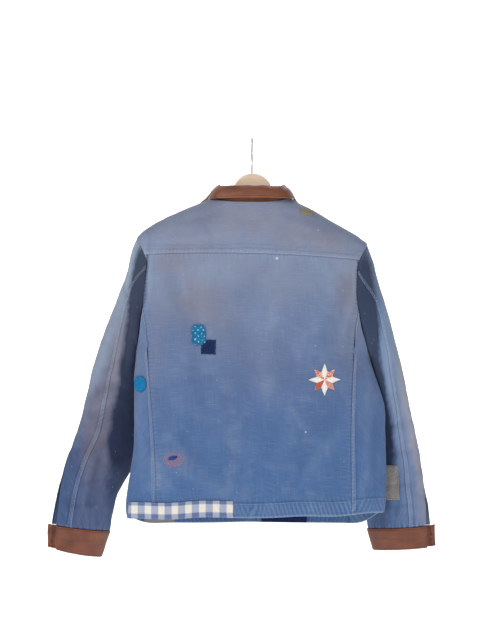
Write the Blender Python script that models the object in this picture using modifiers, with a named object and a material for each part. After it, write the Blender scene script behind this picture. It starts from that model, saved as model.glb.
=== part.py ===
"""Patched work jacket on a wooden hanger. Metres, +Z up, the jacket's back faces -Y.
The origin is where the hanger hook hangs on a rail."""
import math
import bpy
import bmesh
import numpy as np
from mathutils import Vector

for old in list(bpy.data.objects):
    bpy.data.objects.remove(old, do_unlink=True)

# ---- driving sizes ----
WALL = 0.0016          # cloth wall
GAP = 0.0004           # seam gap between two pieces
LEATHER = 0.0018       # leather wall
RING_N = 2.5           # roundness of a body ring
BACK_HEM = -0.7580
FRONT_HEM = -0.7750
HOLE_T = 0.62          # half angle of the armholes
HOLE = {-1: (-0.309, 0.106), 1: (-0.322, 0.109)}   # armhole middle height, half height
BOARD = 0.012          # hanger board thickness
WIRE = 0.0016          # hook wire radius

# half widths of the body at chosen heights, left and right of the middle
LEFT = [(-0.80, .246), (-0.763, .248), (-0.727, .2515), (-0.700, .2485), (-0.655, .2405), (-0.62, .2362), (-0.545, .2345),
        (-0.473, .2350), (-0.44, .2295), (-0.415, .2268), (-0.401, .2335), (-0.384, .2410), (-0.362, .2489), (-0.336, .2517),
        (-0.309, .2520), (-0.282, .2470), (-0.255, .2360), (-0.234, .2290), (-0.218, .2290), (-0.203, .2290), (-0.191, .2225),
        (-0.179, .2070), (-0.167, .1870), (-0.155, .1610), (-0.143, .1330), (-0.130, .1010), (-0.118, .0780), (-0.105, .0620)]
RIGHT = [(-0.80, .255), (-0.759, .2595), (-0.737, .2640), (-0.711, .2668), (-0.671, .2674), (-0.599, .2656), (-0.537, .2638),
         (-0.489, .2510), (-0.455, .2385), (-0.431, .2305), (-0.416, .2350), (-0.399, .2400), (-0.3765, .2439), (-0.350, .2460),
         (-0.322, .2453), (-0.294, .2413), (-0.268, .2360), (-0.245, .2300), (-0.228, .2300), (-0.213, .2290), (-0.203, .2190),
         (-0.191, .2030), (-0.179, .1810), (-0.167, .1590), (-0.155, .1390), (-0.143, .1190), (-0.131, .0930), (-0.118, .0740), (-0.105, .0600)]
BACK_D = [(-0.80, .054), (-0.70, .057), (-0.50, .060), (-0.32, .060), (-0.23, .058), (-0.16, .056), (-0.127, .054), (-0.105, .050)]
FRONT_D = [(-0.80, .056), (-0.60, .060), (-0.32, .064), (-0.20, .063), (-0.127, .058), (-0.105, .052)]


def smooth(x):
    x = min(1.0, max(0.0, x))
    return x * x * (3 - 2 * x)


def table(rows, z):
    """Smooth value through a table of (height, value) rows."""
    if z <= rows[0][0]:
        return rows[0][1]
    if z >= rows[-1][0]:
        return rows[-1][1]
    i = 0
    while rows[i + 1][0] < z:
        i += 1
    (x0, y0), (x1, y1) = rows[i], rows[i + 1]
    m = (y1 - y0) / (x1 - x0)
    ma = m if i == 0 else (y1 - rows[i - 1][1]) / (x1 - rows[i - 1][0])
    mb = m if i + 2 >= len(rows) else (rows[i + 2][1] - y0) / (rows[i + 2][0] - x0)
    h = x1 - x0
    t = (z - x0) / h
    return (y0 * (1 + 2 * t) * (1 - t) ** 2 + ma * h * t * (1 - t) ** 2
            + y1 * t * t * (3 - 2 * t) - mb * h * t * t * (1 - t))


def body(t, z):
    """A point of the body's wall: t is 0 at the right side, pi/2 mid back, pi left, 3pi/2 mid front."""
    c, s = math.cos(t), math.sin(t)
    a = table(RIGHT if c > 0 else LEFT, z)
    b = table(BACK_D if s > 0 else FRONT_D, z)
    x = a * math.copysign(abs(c) ** (2 / RING_N), c)
    y = -b * math.copysign(abs(s) ** (2 / RING_N), s)
    if z < -0.25:                       # long soft folds that hang from the shoulders
        f = smooth((-0.25 - z) / 0.2)
        k = abs(s) ** 1.2
        y += k * f * (0.0035 * math.sin(3.1 * x / 0.11 + 0.8) + 0.0020 * math.sin(x / 0.031 + z * 5))
    return Vector((x, y, z))


def angle_at(x, z, front=False):
    """The ring angle where the body's wall passes x."""
    a = table(RIGHT if x > 0 else LEFT, z)
    c = math.copysign(min(1.0, abs(x) / a) ** (RING_N / 2), x)
    t = math.acos(c)
    return 2 * math.pi - t if front else t


def hole(side, q):
    """Armhole edge as (t, z). q is 0 at the shoulder, 90 degrees on the back, 180 under the arm, -90 on the front."""
    zc, h = HOLE[side]
    tau = HOLE_T * math.sin(math.radians(q))
    t = math.pi - tau if side < 0 else tau
    return (t, zc + h * math.cos(math.radians(q)))


def mixed(a, b, f):
    return tuple(a[i] + (b[i] - a[i]) * f for i in range(len(a)))


def back_hem(x):
    return BACK_HEM + 0.0016 * math.cos(x / 0.07) - 0.0015 * math.cos(x / 0.023) + 0.008 * smooth((x - 0.0) / 0.24) - 0.004 * smooth((-x - 0.1) / 0.14) + 0.005


def hem_z(t):
    """Height of the hem all round: the front hangs lower than the back."""
    s = math.sin(t)
    x = 0.25 * math.cos(t)
    k = smooth((s + 0.67) / 0.55)
    return FRONT_HEM * (1 - k) + back_hem(x) * k


SEAM_TOP_B = {-1: 105.0, 1: 100.0}    # armhole angle where the side-back seam starts
SEAM_TOP_F = {-1: -105.0, 1: -105.0}
SEAM_X_B = {-1: [(-0.80, -.190), (-0.72, -.1905), (-0.64, -.192), (-0.50, -.2020), (-0.40, -.2085), (-0.33, -.2140)],
            1: [(-0.80, .196), (-0.70, .196), (-0.56, .1955), (-0.46, .2000), (-0.38, .2040), (-0.33, .2065)]}
SEAM_X_F = {-1: [(-0.80, -.185), (-0.55, -.188), (-0.33, -.2160)], 1: [(-0.80, .195), (-0.55, .196), (-0.33, .2120)]}
YOKE_CORNER = 45.0


def back_seam(side, v):
    """Side-back seam from the armhole (v 0) to the hem (v 1), as (t, z)."""
    t0, z0 = hole(side, SEAM_TOP_B[side])
    z1 = hem_z(angle_at(table(SEAM_X_B[side], -0.76), -0.76))
    z = z0 + (z1 - z0) * v
    t = angle_at(table(SEAM_X_B[side], z), z)
    k = smooth(v / 0.12)
    return (t0 * (1 - k) + t * k, z)


def front_seam(side, v):
    t0, z0 = hole(side, SEAM_TOP_F[side])
    if side > 0:
        t0 += 2 * math.pi
    z = z0 + (FRONT_HEM - z0) * v
    t = angle_at(table(SEAM_X_F[side], z), z, True)
    k = smooth(v / 0.12)
    return (t0 * (1 - k) + t * k, z)


def yoke_seam(u):
    """Back yoke seam from left (u 0) to right (u 1), as (t, z)."""
    (t0, z0), (t1, z1) = hole(-1, YOKE_CORNER), hole(1, YOKE_CORNER)
    x = -0.21 + 0.425 * u
    z = z0 + (z1 - z0) * u + 0.0075 * max(0.0, math.sin(math.pi * u)) ** 0.7
    x0, x1 = body(t0, z0).x, body(t1, z1).x
    t = angle_at(x0 + (x1 - x0) * u, z)
    if u < 1e-6:
        t = t0
    if u > 1 - 1e-6:
        t = t1
    return (t, z)


NECK_T = 1.0   # front corner of the yoke at the neck, ring angle in front of the side


def neck(t):
    """Neckline height round the neck: lowest in front, a little dip mid back."""
    s = math.sin(t)
    if s >= 0:
        return -0.114 - 0.0165 * s ** 1.3
    return -0.114 - 0.070 * (-s) ** 1.7


FRONT_MID = {-1: 3 * math.pi / 2 + 0.10, 1: 3 * math.pi / 2 + 0.02}   # centre-front edges (left laps over right)


def coons(top, bottom, left, right, nu, nv):
    """Grid of (t, z) filled from four edge functions that meet at the corners."""
    T, B = [top(i / nu) for i in range(nu + 1)], [bottom(i / nu) for i in range(nu + 1)]
    L, R = [left(j / nv) for j in range(nv + 1)], [right(j / nv) for j in range(nv + 1)]
    rows = []
    for j in range(nv + 1):
        v, row = j / nv, []
        for i in range(nu + 1):
            u = i / nu
            row.append(tuple((1 - v) * T[i][k] + v * B[i][k] + (1 - u) * L[j][k] + u * R[j][k]
                             - (1 - u) * (1 - v) * T[0][k] - u * (1 - v) * T[nu][k]
                             - (1 - u) * v * B[0][k] - u * v * B[nu][k] for k in (0, 1)))
        rows.append(row)
    return rows


def material(name, colour, rough, metal=0.0):
    m = bpy.data.materials.get(name) or bpy.data.materials.new(name)
    m.use_nodes = True
    p = m.node_tree.nodes["Principled BSDF"]
    p.inputs["Base Color"].default_value = (*colour, 1)
    p.inputs["Roughness"].default_value = rough
    p.inputs["Metallic"].default_value = metal
    m.diffuse_color = (*colour, 1)
    return m


BLUE = material("blue_cotton", (0.16, 0.23, 0.40), 0.9)
HIDE = material("brown_leather", (0.20, 0.08, 0.045), 0.5)
WOOD = material("pale_wood", (0.72, 0.52, 0.36), 0.45)
STEEL = material("steel", (0.6, 0.6, 0.62), 0.3, 1.0)
NAVY = material("navy_cotton", (0.01, 0.02, 0.06), 0.9)
TEAL = material("dotted_cotton", (0.03, 0.16, 0.32), 0.9)
PATCH = material("plain_patches", (0.3, 0.28, 0.22), 0.9)
STAR = material("quilt_star", (0.7, 0.4, 0.3), 0.9)
GING = material("gingham", (0.5, 0.55, 0.7), 0.9)
HORN = material("button_horn", (0.10, 0.07, 0.05), 0.4)

home = bpy.data.collections.new("patched_boro_jacket")
bpy.context.scene.collection.children.link(home)


def sheet(name, points, mat, wall=WALL, offset=0.0, loop=False, gap=GAP, skip=(), flip=False):
    """A cloth piece: a grid whose vertices are placed on the garment, then given its wall."""
    nv, nu = len(points) - 1, len(points[0]) - 1
    bm = bmesh.new()
    bmesh.ops.create_grid(bm, x_segments=nu, y_segments=nv, size=0.5)
    grid = {}
    for v in bm.verts:
        grid[(round((v.co.x + 0.5) * nu), round((v.co.y + 0.5) * nv))] = v
    for (i, j), v in grid.items():
        p = Vector(points[j][i])
        for a, b, q in ((i == 0 and not loop, gap / 2, (i + 1, j)), (i == nu and not loop, gap / 2, (i - 1, j)),
                        (j == 0, gap / 2, (i, j + 1)), (j == nv, gap / 2, (i, j - 1))):
            if a:
                d = Vector(points[q[1]][q[0]]) - Vector(points[j][i])
                if d.length > 1e-6:
                    p += d.normalized() * b
        v.co = p
    gone = [f for f in bm.faces if any(grid[(a, b)] in f.verts and grid[(a + 1, b + 1)] in f.verts for a, b in skip)]
    if gone:
        bmesh.ops.delete(bm, geom=gone, context="FACES")
    if loop:
        bmesh.ops.remove_doubles(bm, verts=bm.verts, dist=0.00005)
    if flip:
        bmesh.ops.reverse_faces(bm, faces=bm.faces)
    mesh = bpy.data.meshes.new(name)
    bm.to_mesh(mesh)
    bm.free()
    ob = bpy.data.objects.new(name, mesh)
    home.objects.link(ob)
    mesh.materials.append(mat)
    for p in mesh.polygons:
        p.use_smooth = True
    s = ob.modifiers.new("wall", "SOLIDIFY")
    s.thickness = wall
    s.offset = offset
    s.use_even_offset = True
    return ob


def on_body(rows):
    return [[body(t, z) for t, z in row] for row in rows]


# ---- yoke ----
def yoke_bottom(u):
    a = 6 / 30
    if u < a:
        return hole(-1, -YOKE_CORNER + 2 * YOKE_CORNER * u / a)
    if u > 1 - a:
        return hole(1, YOKE_CORNER - 2 * YOKE_CORNER * (u - 1 + a) / a)
    return yoke_seam((u - a) / (1 - 2 * a))


def yoke_top(u):
    t = math.pi + NECK_T - (math.pi + 2 * NECK_T) * u
    return (t, neck(t))


def line(a, b):
    return lambda v: mixed(a, b, v)


def front_yoke(side, v):
    """Front yoke seam from the neck (v 0) to the armhole (v 1)."""
    t = math.pi + NECK_T if side < 0 else -NECK_T
    return mixed((t, neck(t)), hole(side, -YOKE_CORNER), v)


YOKE = coons(yoke_top, yoke_bottom, lambda v: front_yoke(-1, v), lambda v: front_yoke(1, v), 30, 6)
sheet("yoke", on_body(YOKE), BLUE, flip=True)


# ---- back ----
def back_side(side):
    def f(v):
        a = 4 / 16
        if v < a:
            return hole(side, YOKE_CORNER + (SEAM_TOP_B[side] - YOKE_CORNER) * v / a)
        return back_seam(side, (v - a) / (1 - a))
    return f


def hem_edge(a, b):
    def f(u):
        t = a[0] + (b[0] - a[0]) * u
        return (t, hem_z(t))
    return f


BACK = coons(yoke_seam, hem_edge(back_seam(-1, 1), back_seam(1, 1)), back_side(-1), back_side(1), 18, 16)
sheet("back_panel", on_body(BACK), BLUE, flip=True)


# ---- side panels ----
def side_top(side):
    def f(u):
        lo, hi = SEAM_TOP_B[side], 360 + SEAM_TOP_F[side]
        t, z = hole(side, lo + (hi - lo) * u)
        return (t, z)
    return f


def side_rows(side):
    def fix(tz):
        return (tz[0] - 2 * math.pi if side > 0 and tz[0] > math.pi else tz[0], tz[1])
    left, right = (lambda v: fix(back_seam(side, v))), (lambda v: fix(front_seam(side, v)))
    return coons(side_top(side), hem_edge(left(1), right(1)), left, right, 8, 12)


sheet("side_panel_l", on_body(side_rows(-1)), BLUE)
sheet("side_panel_r", on_body(side_rows(1)), BLUE, flip=True)


# ---- fronts ----
def front_rows(side):
    turn = 2 * math.pi if side > 0 else 0.0
    a = 6 / 10
    corner = (math.pi + NECK_T if side < 0 else 2 * math.pi - NECK_T, neck(math.pi + NECK_T))
    mid = FRONT_MID[side]

    def top(u):
        if u < a:
            q = front_yoke(side, 1 - u / a)
            return (q[0] + turn, q[1])
        t = corner[0] + (mid - corner[0]) * (u - a) / (1 - a)
        return (t, neck(t))

    def outer(v):
        b = 4 / 16
        if v < b:
            q = hole(side, -YOKE_CORNER + (SEAM_TOP_F[side] + YOKE_CORNER) * v / b)
            return (q[0] + turn, q[1])
        return front_seam(side, (v - b) / (1 - b))

    def inner(v):
        z0 = neck(mid)
        return (mid, z0 + (FRONT_HEM - z0) * v)

    return coons(top, lambda u: mixed(outer(1), inner(1), u), outer, inner, 10, 16)


def lapped(rows, side):
    """The left front laps 4 mm in front of the right one near the middle."""
    out = []
    for row in rows:
        r = []
        for t, z in row:
            p = body(t, z)
            k = smooth((p.x + 0.055) / 0.03) if side < 0 else 0.0
            p.y += 0.0042 * k
            r.append(p)
        out.append(r)
    return out


sheet("front_l", lapped(front_rows(-1), -1), BLUE)
sheet("front_r", lapped(front_rows(1), 1), BLUE, flip=True)

# ---- sleeves: stations of (outer x, z), (inner x, z), outer y, inner y, half depth ----
ARM = {
    -1: [((-.226, -.203), (-.226, -.415), .000, .000, .036), ((-.240, -.232), (-.2300, -.424), .002, .010, .046),
         ((-.249, -.265), (-.2310, -.436), .004, .022, .050), ((-.262, -.300), (-.2300, -.455), .006, .036, .050),
         ((-.279, -.346), (-.2290, -.480), .010, .050, .047), ((-.296, -.392), (-.2270, -.515), .016, .060, .042),
         ((-.314, -.444), (-.2240, -.556), .022, .068, .036), ((-.328, -.496), (-.2190, -.602), .028, .074, .031),
         ((-.347, -.572), (-.2210, -.632), .034, .078, .028), ((-.362, -.612), (-.2405, -.657), .038, .080, .026),
         ((-.373, -.642), (-.2600, -.692), .041, .080, .025), ((-.3865, -.695), (-.2760, -.722), .045, .079, .024),
         ((-.393, -.735), (-.2840, -.752), .047, .078, .023), ((-.3980, -.7790), (-.2914, -.7930), .050, .077, .022)],
    1: [((.2275, -.213), (.230, -.431), .000, .000, .036), ((.2420, -.252), (.2345, -.440), .002, .010, .046),
        ((.2520, -.285), (.2380, -.452), .004, .022, .050), ((.2640, -.325), (.2415, -.470), .006, .036, .050),
        ((.2800, -.378), (.2450, -.500), .010, .050, .047), ((.2930, -.430), (.2480, -.540), .016, .060, .042),
        ((.3045, -.478), (.2500, -.580), .022, .066, .036), ((.3140, -.526), (.2500, -.625), .026, .070, .031),
        ((.3280, -.588), (.2450, -.665), .030, .074, .028), ((.3400, -.640), (.2400, -.700), .034, .076, .026),
        ((.3460, -.690), (.2360, -.728), .037, .077, .025), ((.3515, -.725), (.2345, -.748), .039, .077, .024),
        ((.3530, -.752), (.2360, -.765), .041, .077, .023), ((.3540, -.7790), (.2386, -.7880), .043, .077, .022)],
}


def station(side, s):
    """Smooth ring of the sleeve at s (0 armhole, 1 cuff seam)."""
    st = [(*a, *b, c, d, e) for a, b, c, d, e in ARM[side]]
    n = len(st) - 1
    f = min(max(s, 0), 1) * n
    i = min(int(f), n - 1)
    f -= i
    p0, p1, p2, p3 = st[max(i - 1, 0)], st[i], st[i + 1], st[min(i + 2, n)]
    return [0.5 * (2 * b + (c - a) * f + (2 * a - 5 * b + 4 * c - d) * f * f + (3 * b - a - 3 * c + d) * f ** 3)
            for a, b, c, d in zip(p0, p1, p2, p3)]


def clear_of_body(p, s, margin=0.0075):
    """Moves a sleeve point out of the body's wall."""
    k = smooth(s / 0.04) * max(smooth((-0.31 - p.z) / 0.05), smooth((s - 0.15) / 0.05))
    if k <= 0:
        return p
    z = max(min(p.z, -0.12), -0.79)
    a = table(RIGHT if p.x > 0 else LEFT, z) + margin
    b = (table(BACK_D, z) if p.y < 0 else table(FRONT_D, z)) + margin + 0.002
    f = (abs(p.x) / a) ** RING_N + (abs(p.y) / b) ** RING_N
    if f < 1:
        e = f ** (-1 / RING_N)
        p = p.lerp(Vector((p.x * e, p.y * e, p.z)), k)
    return p


def sleeve(side, s, q):
    """A point of the sleeve's wall; q in degrees, 0 outer, 90 back, 180 inner, 270 front."""
    def ring(s):
        ox, oz, ix, iz, oy, iy, b = station(side, s)
        c = Vector(((ox + ix) / 2, (oy + iy) / 2, (oz + iz) / 2))
        e1 = Vector((ox, oy, oz)) - c
        cs, sn = math.cos(math.radians(q)), math.sin(math.radians(q))
        e2 = Vector((0, 1, 0)) - e1 * (e1.y / e1.length_squared)
        return c + e1 * cs - e2.normalized() * (b * sn), e1
    p, e1 = ring(s)
    k = 1 - smooth(s / 0.16)
    if k > 0:
        d = body(*hole(side, q if q <= 180 else q - 360)) - ring(0)[0]
        p = p + d * k
    p.x += side * 0.0034 * max(0.0, -math.cos(math.radians(q))) ** 0.5 * (1 - smooth(s / 0.3))
    return clear_of_body(p, s)


SLIT_TOP = 0.75
BACK_Q, FRONT_Q = 62.0, 282.0


def sleeve_rows(side, q0, q1, nq, ns, s0=0.0, s1=1.0):
    return [[sleeve(side, s0 + (s1 - s0) * j / ns, q0 + (q1 - q0) * i / nq) for i in range(nq + 1)] for j in range(ns + 1)]


def slit_open(side, p, s, q):
    """Spreads the front edge of the cuff slit outwards."""
    k = smooth((s - SLIT_TOP) / (1 - SLIT_TOP))
    w = smooth((q - 318) / 42)
    p = p.copy()
    p.x += side * 0.008 * k * w
    p.y += 0.010 * k * w
    return p


def upper_rows(side):
    """Upper sleeve: from the front seam over the outer edge to the back seam; the slit's two edges share a column above its top."""
    qs = [FRONT_Q - 360, -60, -42, -24, -8, 6, 20, 34, 48, BACK_Q]
    out = []
    ns = 16
    for j in range(ns + 1):
        s = j / ns
        row = []
        for q in qs:
            k = smooth((s - SLIT_TOP) / 0.2)
            qq = q
            if q == -8:
                qq = 3 - 3 * k
            elif q == 6:
                qq = 3.6 + 6.4 * k
            p = sleeve(side, s, qq % 360)
            if q <= -8:
                p = slit_open(side, p, s, (q % 360) if q != -8 else 360)
            row.append(p)
        out.append(row)
    return out


def build_sleeve(side, tag):
    rows = upper_rows(side)
    cut = [(4, j) for j in range(12, 16)]
    # armhole clearance: the first ring stands off the body's edge
    def stand_off(rows):
        first = [rows[0][i].lerp(rows[1][i], 0.0009 / max((rows[1][i] - rows[0][i]).length, 1e-6)) for i in range(len(rows[0]))]
        return [first] + rows[1:]
    sheet("sleeve_%s_upper" % tag, stand_off(rows), BLUE, gap=0.0018, skip=cut, flip=side < 0)
    qs = [BACK_Q + (FRONT_Q - BACK_Q) * i / 10 for i in range(11)]
    under = []
    for j in range(17):
        s = j / 16
        row = []
        for q in qs:
            p = sleeve(side, s, q)
            row.append(slit_open(side, p, s, q))
        under.append(row)
    sheet("sleeve_%s_under" % tag, stand_off(under), BLUE, gap=0.0018, flip=side < 0)


build_sleeve(-1, "l")
build_sleeve(1, "r")

# ---- cuffs ----
CUFF = {-1: dict(drop=Vector((-0.002, 0.003, -0.0475)), top=0.0012), 1: dict(drop=Vector((0.0035, 0.003, -0.0440)), top=0.0012)}


def cuff(side, v, q):
    """Leather cuff: q from 10 (back end) round to 360, then on past the slit as a flat end."""
    over = max(0.0, q - 352)
    p = slit_open(side, sleeve(side, 1.0, min(q, 352)), 1.0, min(q, 352))
    c = slit_open(side, sleeve(side, 1.0, 180), 1.0, 180).lerp(sleeve(side, 1.0, 0), 0.5)
    p = c + (p - c) * (1.035 - 0.02 * v)
    p = p + CUFF[side]["drop"] * v
    inner = smooth((1 - math.cos(math.radians(q))) / 2)
    p.x += side * (0.0150 if side < 0 else 0.0080) * inner * v
    p.z -= CUFF[side]["top"]
    if side < 0:
        p.z -= 0.006 * math.sin(math.pi * min(q, 360) / 360) * v
    if over:
        p += Vector((side * 0.0016, 0.0009, 0.0003)) * over
    return p


def cuff_rows(side, nv=3):
    qs = [11, 22, 38, 58, 80, 105, 130, 152, 170, 186, 205, 230, 258, 285, 308, 328, 342, 352, 357]
    return [[cuff(side, j / nv, q) for q in qs] for j in range(nv + 1)]


sheet("cuff_l", cuff_rows(-1), HIDE, wall=LEATHER, flip=True)
sheet("cuff_r", cuff_rows(1), HIDE, wall=LEATHER)

# ---- collar ----
COLLAR_END = 1.42   # how far past the side the collar runs to the front


def collar_angle(u):
    return math.pi + COLLAR_END - (math.pi + 2 * COLLAR_END) * u


def stand_point(t, v):
    """Collar stand: v 0 at the neckline, 1 at the fold."""
    z0 = neck(t)
    p = body(t, z0)
    s = max(0.0, -math.sin(t))
    rise = 0.0205 + 0.0165 * max(0.0, math.sin(t)) ** 1.5 - 0.004 * s
    flat = Vector((p.x, p.y, 0))
    p = p - flat.normalized() * (0.0024 + 0.0024 * min(1.0, 3 * s))
    q = Vector((p.x * (1 - 0.15 * v), p.y * (1 - 0.06 * v), z0 + 0.0030 - 0.0065 * max(0.0, math.sin(t)) ** 0.5 + (rise - 0.003) * v))
    if s > 0:
        q.y -= 0.008 * s * v
    return q


def fall_point(t, v):
    """Collar fall: v 0 at the fold, 1 at its outer edge."""
    p = stand_point(t, 1.0)
    s = math.sin(t)
    f = max(0.0, -s)
    out = Vector((math.cos(t), -math.sin(t) * 0.9, 0)).normalized()
    drop = 0.0215 + 0.0045 * max(0.0, s) + 0.0050 * abs(math.cos(t)) ** 2 + 0.016 * f
    reach = 0.0130 + 0.0100 * abs(math.cos(t)) ** 2 + 0.010 * f
    bulge = math.sin(math.pi * v) * 0.0035
    p = p + out * (0.0038 + 0.0034 * min(1.0, 3 * f) + reach * v + bulge) + Vector((0, 0, 0.0012 + 0.0018 * v - drop * v ** 1.25))
    z = min(p.z, -0.107)
    a = table(RIGHT if p.x > 0 else LEFT, z) + 0.0065
    b = table(FRONT_D, z) + 0.0045
    k = (abs(p.x) / a) ** RING_N + (abs(p.y) / b) ** RING_N
    if f > 0 and k < 1:
        e = k ** (-1 / RING_N)
        p = p.lerp(Vector((p.x * e, p.y * e, p.z)), smooth(f / 0.1) * smooth(v / 0.3))
    return p


sheet("collar_stand", [[stand_point(collar_angle(i / 26), j / 2) for i in range(27)] for j in range(3)], HIDE, wall=0.0014)
sheet("collar_fall", [[fall_point(collar_angle(i / 26), j / 3) for i in range(27)] for j in range(4)], HIDE, wall=LEATHER)


# ---- patches, each made from the points of what it lies on, moved out ----
def normal_at(f, a, b, da, db):
    n = (f(a + da, b) - f(a - da, b)).cross(f(a, b + db) - f(a, b - db))
    return n.normalized()


def body_out(x, z, lift, front=False):
    t = angle_at(x, z, front)
    n = normal_at(body, t, z, 0.01, 0.004)
    p = body(t, z)
    if n.dot(Vector((p.x * 0.2, p.y, 0))) < 0:
        n = -n
    return p + n * lift


def ring_patch(name, outline, centre, mat, lift=0.0022, wall=0.0010, front=False, rings=(0.55, 1.0)):
    """A flat patch laid on the body: a fan of rings inside its outline."""
    bm = bmesh.new()
    n = len(outline)
    bmesh.ops.create_circle(bm, cap_ends=False, segments=n, radius=1.0)
    bm.free()
    rows = []
    for r in (0.06,) + tuple(rings):
        rows.append([body_out(centre[0] + (x - centre[0]) * r, centre[1] + (z - centre[1]) * r, lift, front) for x, z in outline + outline[:1]])
    bm = bmesh.new()
    bmesh.ops.create_grid(bm, x_segments=n, y_segments=len(rows) - 1, size=0.5)
    for v in bm.verts:
        i, j = round((v.co.x + 0.5) * n), round((v.co.y + 0.5) * (len(rows) - 1))
        v.co = rows[j][i]
    bmesh.ops.remove_doubles(bm, verts=bm.verts, dist=0.00005)
    bmesh.ops.holes_fill(bm, edges=[e for e in bm.edges if e.is_boundary and all((v.co - rows[0][0]).length < 0.004 for v in e.verts)], sides=0)
    bmesh.ops.recalc_face_normals(bm, faces=bm.faces)
    mesh = bpy.data.meshes.new(name)
    bm.to_mesh(mesh)
    bm.free()
    ob = bpy.data.objects.new(name, mesh)
    home.objects.link(ob)
    mesh.materials.append(mat)
    s = ob.modifiers.new("wall", "SOLIDIFY")
    s.thickness = wall
    s.offset = 0
    return ob


def quad(cx, cz, w, h, turn=0.0, chamfer=0.0, n=4):
    """Points round a rectangle, anticlockwise."""
    c, s = math.cos(math.radians(turn)), math.sin(math.radians(turn))
    k = chamfer
    raw = []
    for sx, sz in ((1, 1), (-1, 1), (-1, -1), (1, -1)):
        raw += [(sx * (w / 2 - (k if sx * sz < 0 else 0)), sz * (h / 2 - (0 if sx * sz < 0 else k))),
                (sx * (w / 2 - (0 if sx * sz < 0 else k)), sz * (h / 2 - (k if sx * sz < 0 else 0)))] if k else [(sx * w / 2, sz * h / 2)]
    if not k:
        fine = []
        for a, b in zip(raw, raw[1:] + raw[:1]):
            fine += [mixed(a, b, i / n) for i in range(n)]
        raw = fine
    return [(cx + x * c - z * s, cz + x * s + z * c) for x, z in raw]


ring_patch("patch_dotted", quad(-0.1055, -0.3920, 0.028, 0.040, 2, 0.006), (-0.1055, -0.3920), TEAL, lift=0.0044)
ring_patch("patch_navy", quad(-0.0860, -0.4160, 0.0285, 0.0285, -2), (-0.0860, -0.4160), NAVY, lift=0.0024)
star = []
for i in range(16):
    r = 0.0320 if i % 4 == 0 else (0.0290 if i % 2 == 0 else 0.0165)
    a = math.radians(22.5 * i)
    star.append((0.1420 + r * math.cos(a), -0.4805 + r * math.sin(a)))
ring_patch("patch_star", star, (0.1420, -0.4805), STAR)


def rim_patch(name, rows, mat, wall=0.0010, flip=False):
    return sheet(name, rows, mat, wall=wall, gap=0.0, flip=flip)


def panel_patch(name, x0, x1, z0, z1, mat, nu, nv, lift=0.0023, front=False, flip=True):
    return rim_patch(name, [[body_out(x0 + (x1 - x0) * i / nu, z0 + (z1 - z0) * j / nv, lift, front) for i in range(nu + 1)]
                            for j in range(nv + 1)], mat, flip=flip)


panel_patch("patch_mustard", 0.0970, 0.1215, -0.1455, -0.1575, PATCH, 4, 2)
# gingham: over the hem from the left side to mid back, following the hem
g_rows = []
for j in range(4):
    row = []
    for i in range(15):
        x = -0.2440 + 0.2060 * i / 14
        t = angle_at(x, -0.745)
        zh = hem_z(t)
        z = zh + 0.0005 + (0.0335 - 0.0005) * (1 - j / 3)
        row.append(body_out(x, z, 0.0023))
    g_rows.append(row)
rim_patch("patch_gingham", g_rows, GING, flip=True)
# round patch on the left side panel, over its edge
round_out = [(-0.2200 + 0.0115 * math.cos(math.radians(30 * i)), -0.4900 + 0.0155 * math.sin(math.radians(30 * i))) for i in range(12)]
ring_patch("patch_round", round_out, (-0.2200, -0.4900), TEAL)
# inside of the front hem: seen under the back hem
for nm, xa, xb, m in (("patch_front_navy", 0.020, 0.112, NAVY), ("patch_front_tan", -0.218, -0.156, PATCH)):
    rows = []
    for j in range(3):
        row = []
        for i in range(9):
            x = xa + (xb - xa) * i / 8
            t = angle_at(x, -0.76, True)
            p = body(t, hem_z(t) + 0.0006 + 0.024 * (1 - j / 2))
            k = smooth((p.x + 0.055) / 0.03)
            row.append(p + Vector((0, -0.0023, 0)))
        rows.append(row)
    rim_patch(nm, rows, m)


# patch on the right sleeve, on the back of the forearm
def sleeve_at(side, q, z):
    """How far along the sleeve its line at q reaches the height z."""
    a, b = 0.3, 1.0
    for _ in range(24):
        m = (a + b) / 2
        if sleeve(side, m, q).z > z:
            a = m
        else:
            b = m
    return (a + b) / 2


def sleeve_out(side, s, q, lift):
    d = lambda a, b: sleeve(side, a, b)
    n = normal_at(d, s, q, 0.01, 4.0)
    p = sleeve(side, s, q)
    c = (sleeve(side, s, 0) + sleeve(side, s, 180)) / 2
    if n.dot(p - c) < 0:
        n = -n
    return p + n * lift


kh = [[sleeve_out(1, sleeve_at(1, 116 - 40 * i / 4, -0.6556 - 0.0710 * j / 4), 116 - 40 * i / 4, 0.0023) for i in range(5)] for j in range(5)]
rim_patch("patch_sleeve", kh, PATCH)


# ---- buttons ----
def button(name, place, out, r=0.0085, thick=0.0030):
    bm = bmesh.new()
    bmesh.ops.create_cone(bm, cap_ends=True, segments=24, radius1=r, radius2=r * 0.9, depth=thick)
    mesh = bpy.data.meshes.new(name)
    bm.to_mesh(mesh)
    bm.free()
    ob = bpy.data.objects.new(name, mesh)
    home.objects.link(ob)
    mesh.materials.append(HORN)
    ob.location = place + out * (thick / 2)
    ob.rotation_euler = out.to_track_quat("Z", "Y").to_euler()
    return ob


for i in range(5):
    z = -0.235 - 0.116 * i
    t = angle_at(-0.006, z, True)
    p = body(t, z)
    button("button_%d" % (i + 1), p + Vector((0, 0.0042 + 0.0024, 0)), Vector((0, 1, 0)))
for side, tag in ((-1, "l"), (1, "r")):
    p = cuff(side, 0.5, 322)
    c = (cuff(side, 0.5, 90) + cuff(side, 0.5, 270)) / 2
    n = (cuff(side, 0.5, 328) - cuff(side, 0.5, 316)).cross(cuff(side, 0.7, 322) - cuff(side, 0.3, 322)).normalized()
    if n.dot(p - c) < 0:
        n = -n
    button("button_cuff_" + tag, p + n * 0.0034, n, r=0.0075)

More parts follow.
